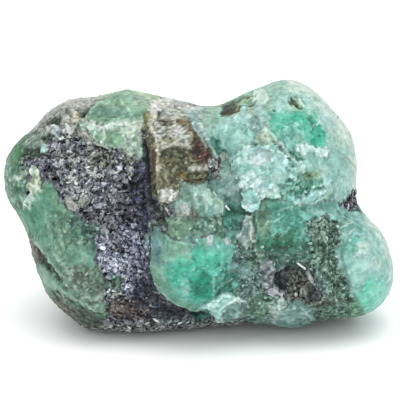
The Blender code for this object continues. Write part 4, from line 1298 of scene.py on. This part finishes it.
def make_lights():
    world = bpy.data.worlds.new("studio")
    world.use_nodes = True
    back = world.node_tree.nodes["Background"].inputs
    back["Color"].default_value = ROOM_COLOUR
    back["Strength"].default_value = ROOM_STRENGTH
    bpy.context.scene.world = world
    for name, (place, width, power) in LAMPS.items():
        lamp = bpy.data.lights.new(name, "AREA")
        lamp.shape = "DISK"
        lamp.size = width
        lamp.energy = power
        stand = link(name, lamp)
        stand.location = place
        stand.rotation_euler = (LAMP_AIM - stand.location).to_track_quat("-Z", "Y").to_euler()


def make_camera():
    lens = bpy.data.cameras.new("camera")
    lens.lens = LENS
    lens.sensor_width = SENSOR
    lens.clip_end = REACH
    distance = VIEW * PIXEL * MM * LENS / SENSOR
    middle = np.array([0.0, 0.0, (FACE_PIXEL[1] - VIEW / 2) * PIXEL])
    camera = link("camera", lens)
    camera.location = Vector(to_world(middle) + TO_VIEWER * distance)
    camera.rotation_euler = (math.radians(90) - LEAN_BACK, 0, 0)
    bpy.context.scene.camera = camera


def keep(piece, slot):
    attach(piece, "root")
    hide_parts(NODE)


def build():
    bpy.context.scene.view_settings.view_transform = "Standard"
    make_camera()
    make_lights()
    make_floor()
    mesh, skin = make_skin()
    mesh.materials.clear()
    mesh.materials.append(skin_material())
    keep(half_of(mesh, skin, "emerald_stone_front", True), "emerald")
    keep(half_of(mesh, skin, "emerald_stone_back", False), "emerald")
    surface = surface_of(mesh)
    for seed, (name, (tones, rise, text)) in enumerate(CHIPS.items()):
        keep(chip_on_skin(name, tones, rise, places(text), surface, seed), "emerald")
    for name, (slot, code, width, lift, text) in RODS.items():
        keep(rod_on_skin(name, code, width, lift, places(text), surface), slot)

    # Flakes are smaller where the schist thins out, and grains stand in frost and at its edges.
    flake, small = chip_material("mica", 0.35), np.clip(skin.speckle**1.5, 0.5, 1)
    grain, full = chip_material("grains", 0.5), np.ones(len(skin.points))
    gritty = np.clip(skin.frost - 0.2, 0, 1) + 0.5 * np.clip(skin.speckle - skin.speckle**3, 0, 1)
    for side, share, seed in (("front", skin.front, 1), ("back", 1 - skin.front, 11)):
        dense = skin.speckle**1.6 * share
        keep(scatter("mica_" + side, skin, dense, plate_shape, MICA, small, flake, seed), "mica_schist")
        dense = gritty * share
        keep(scatter("grains_" + side, skin, dense, grain_shape, GRAINS, full, grain, seed + 2), "emerald")


build()

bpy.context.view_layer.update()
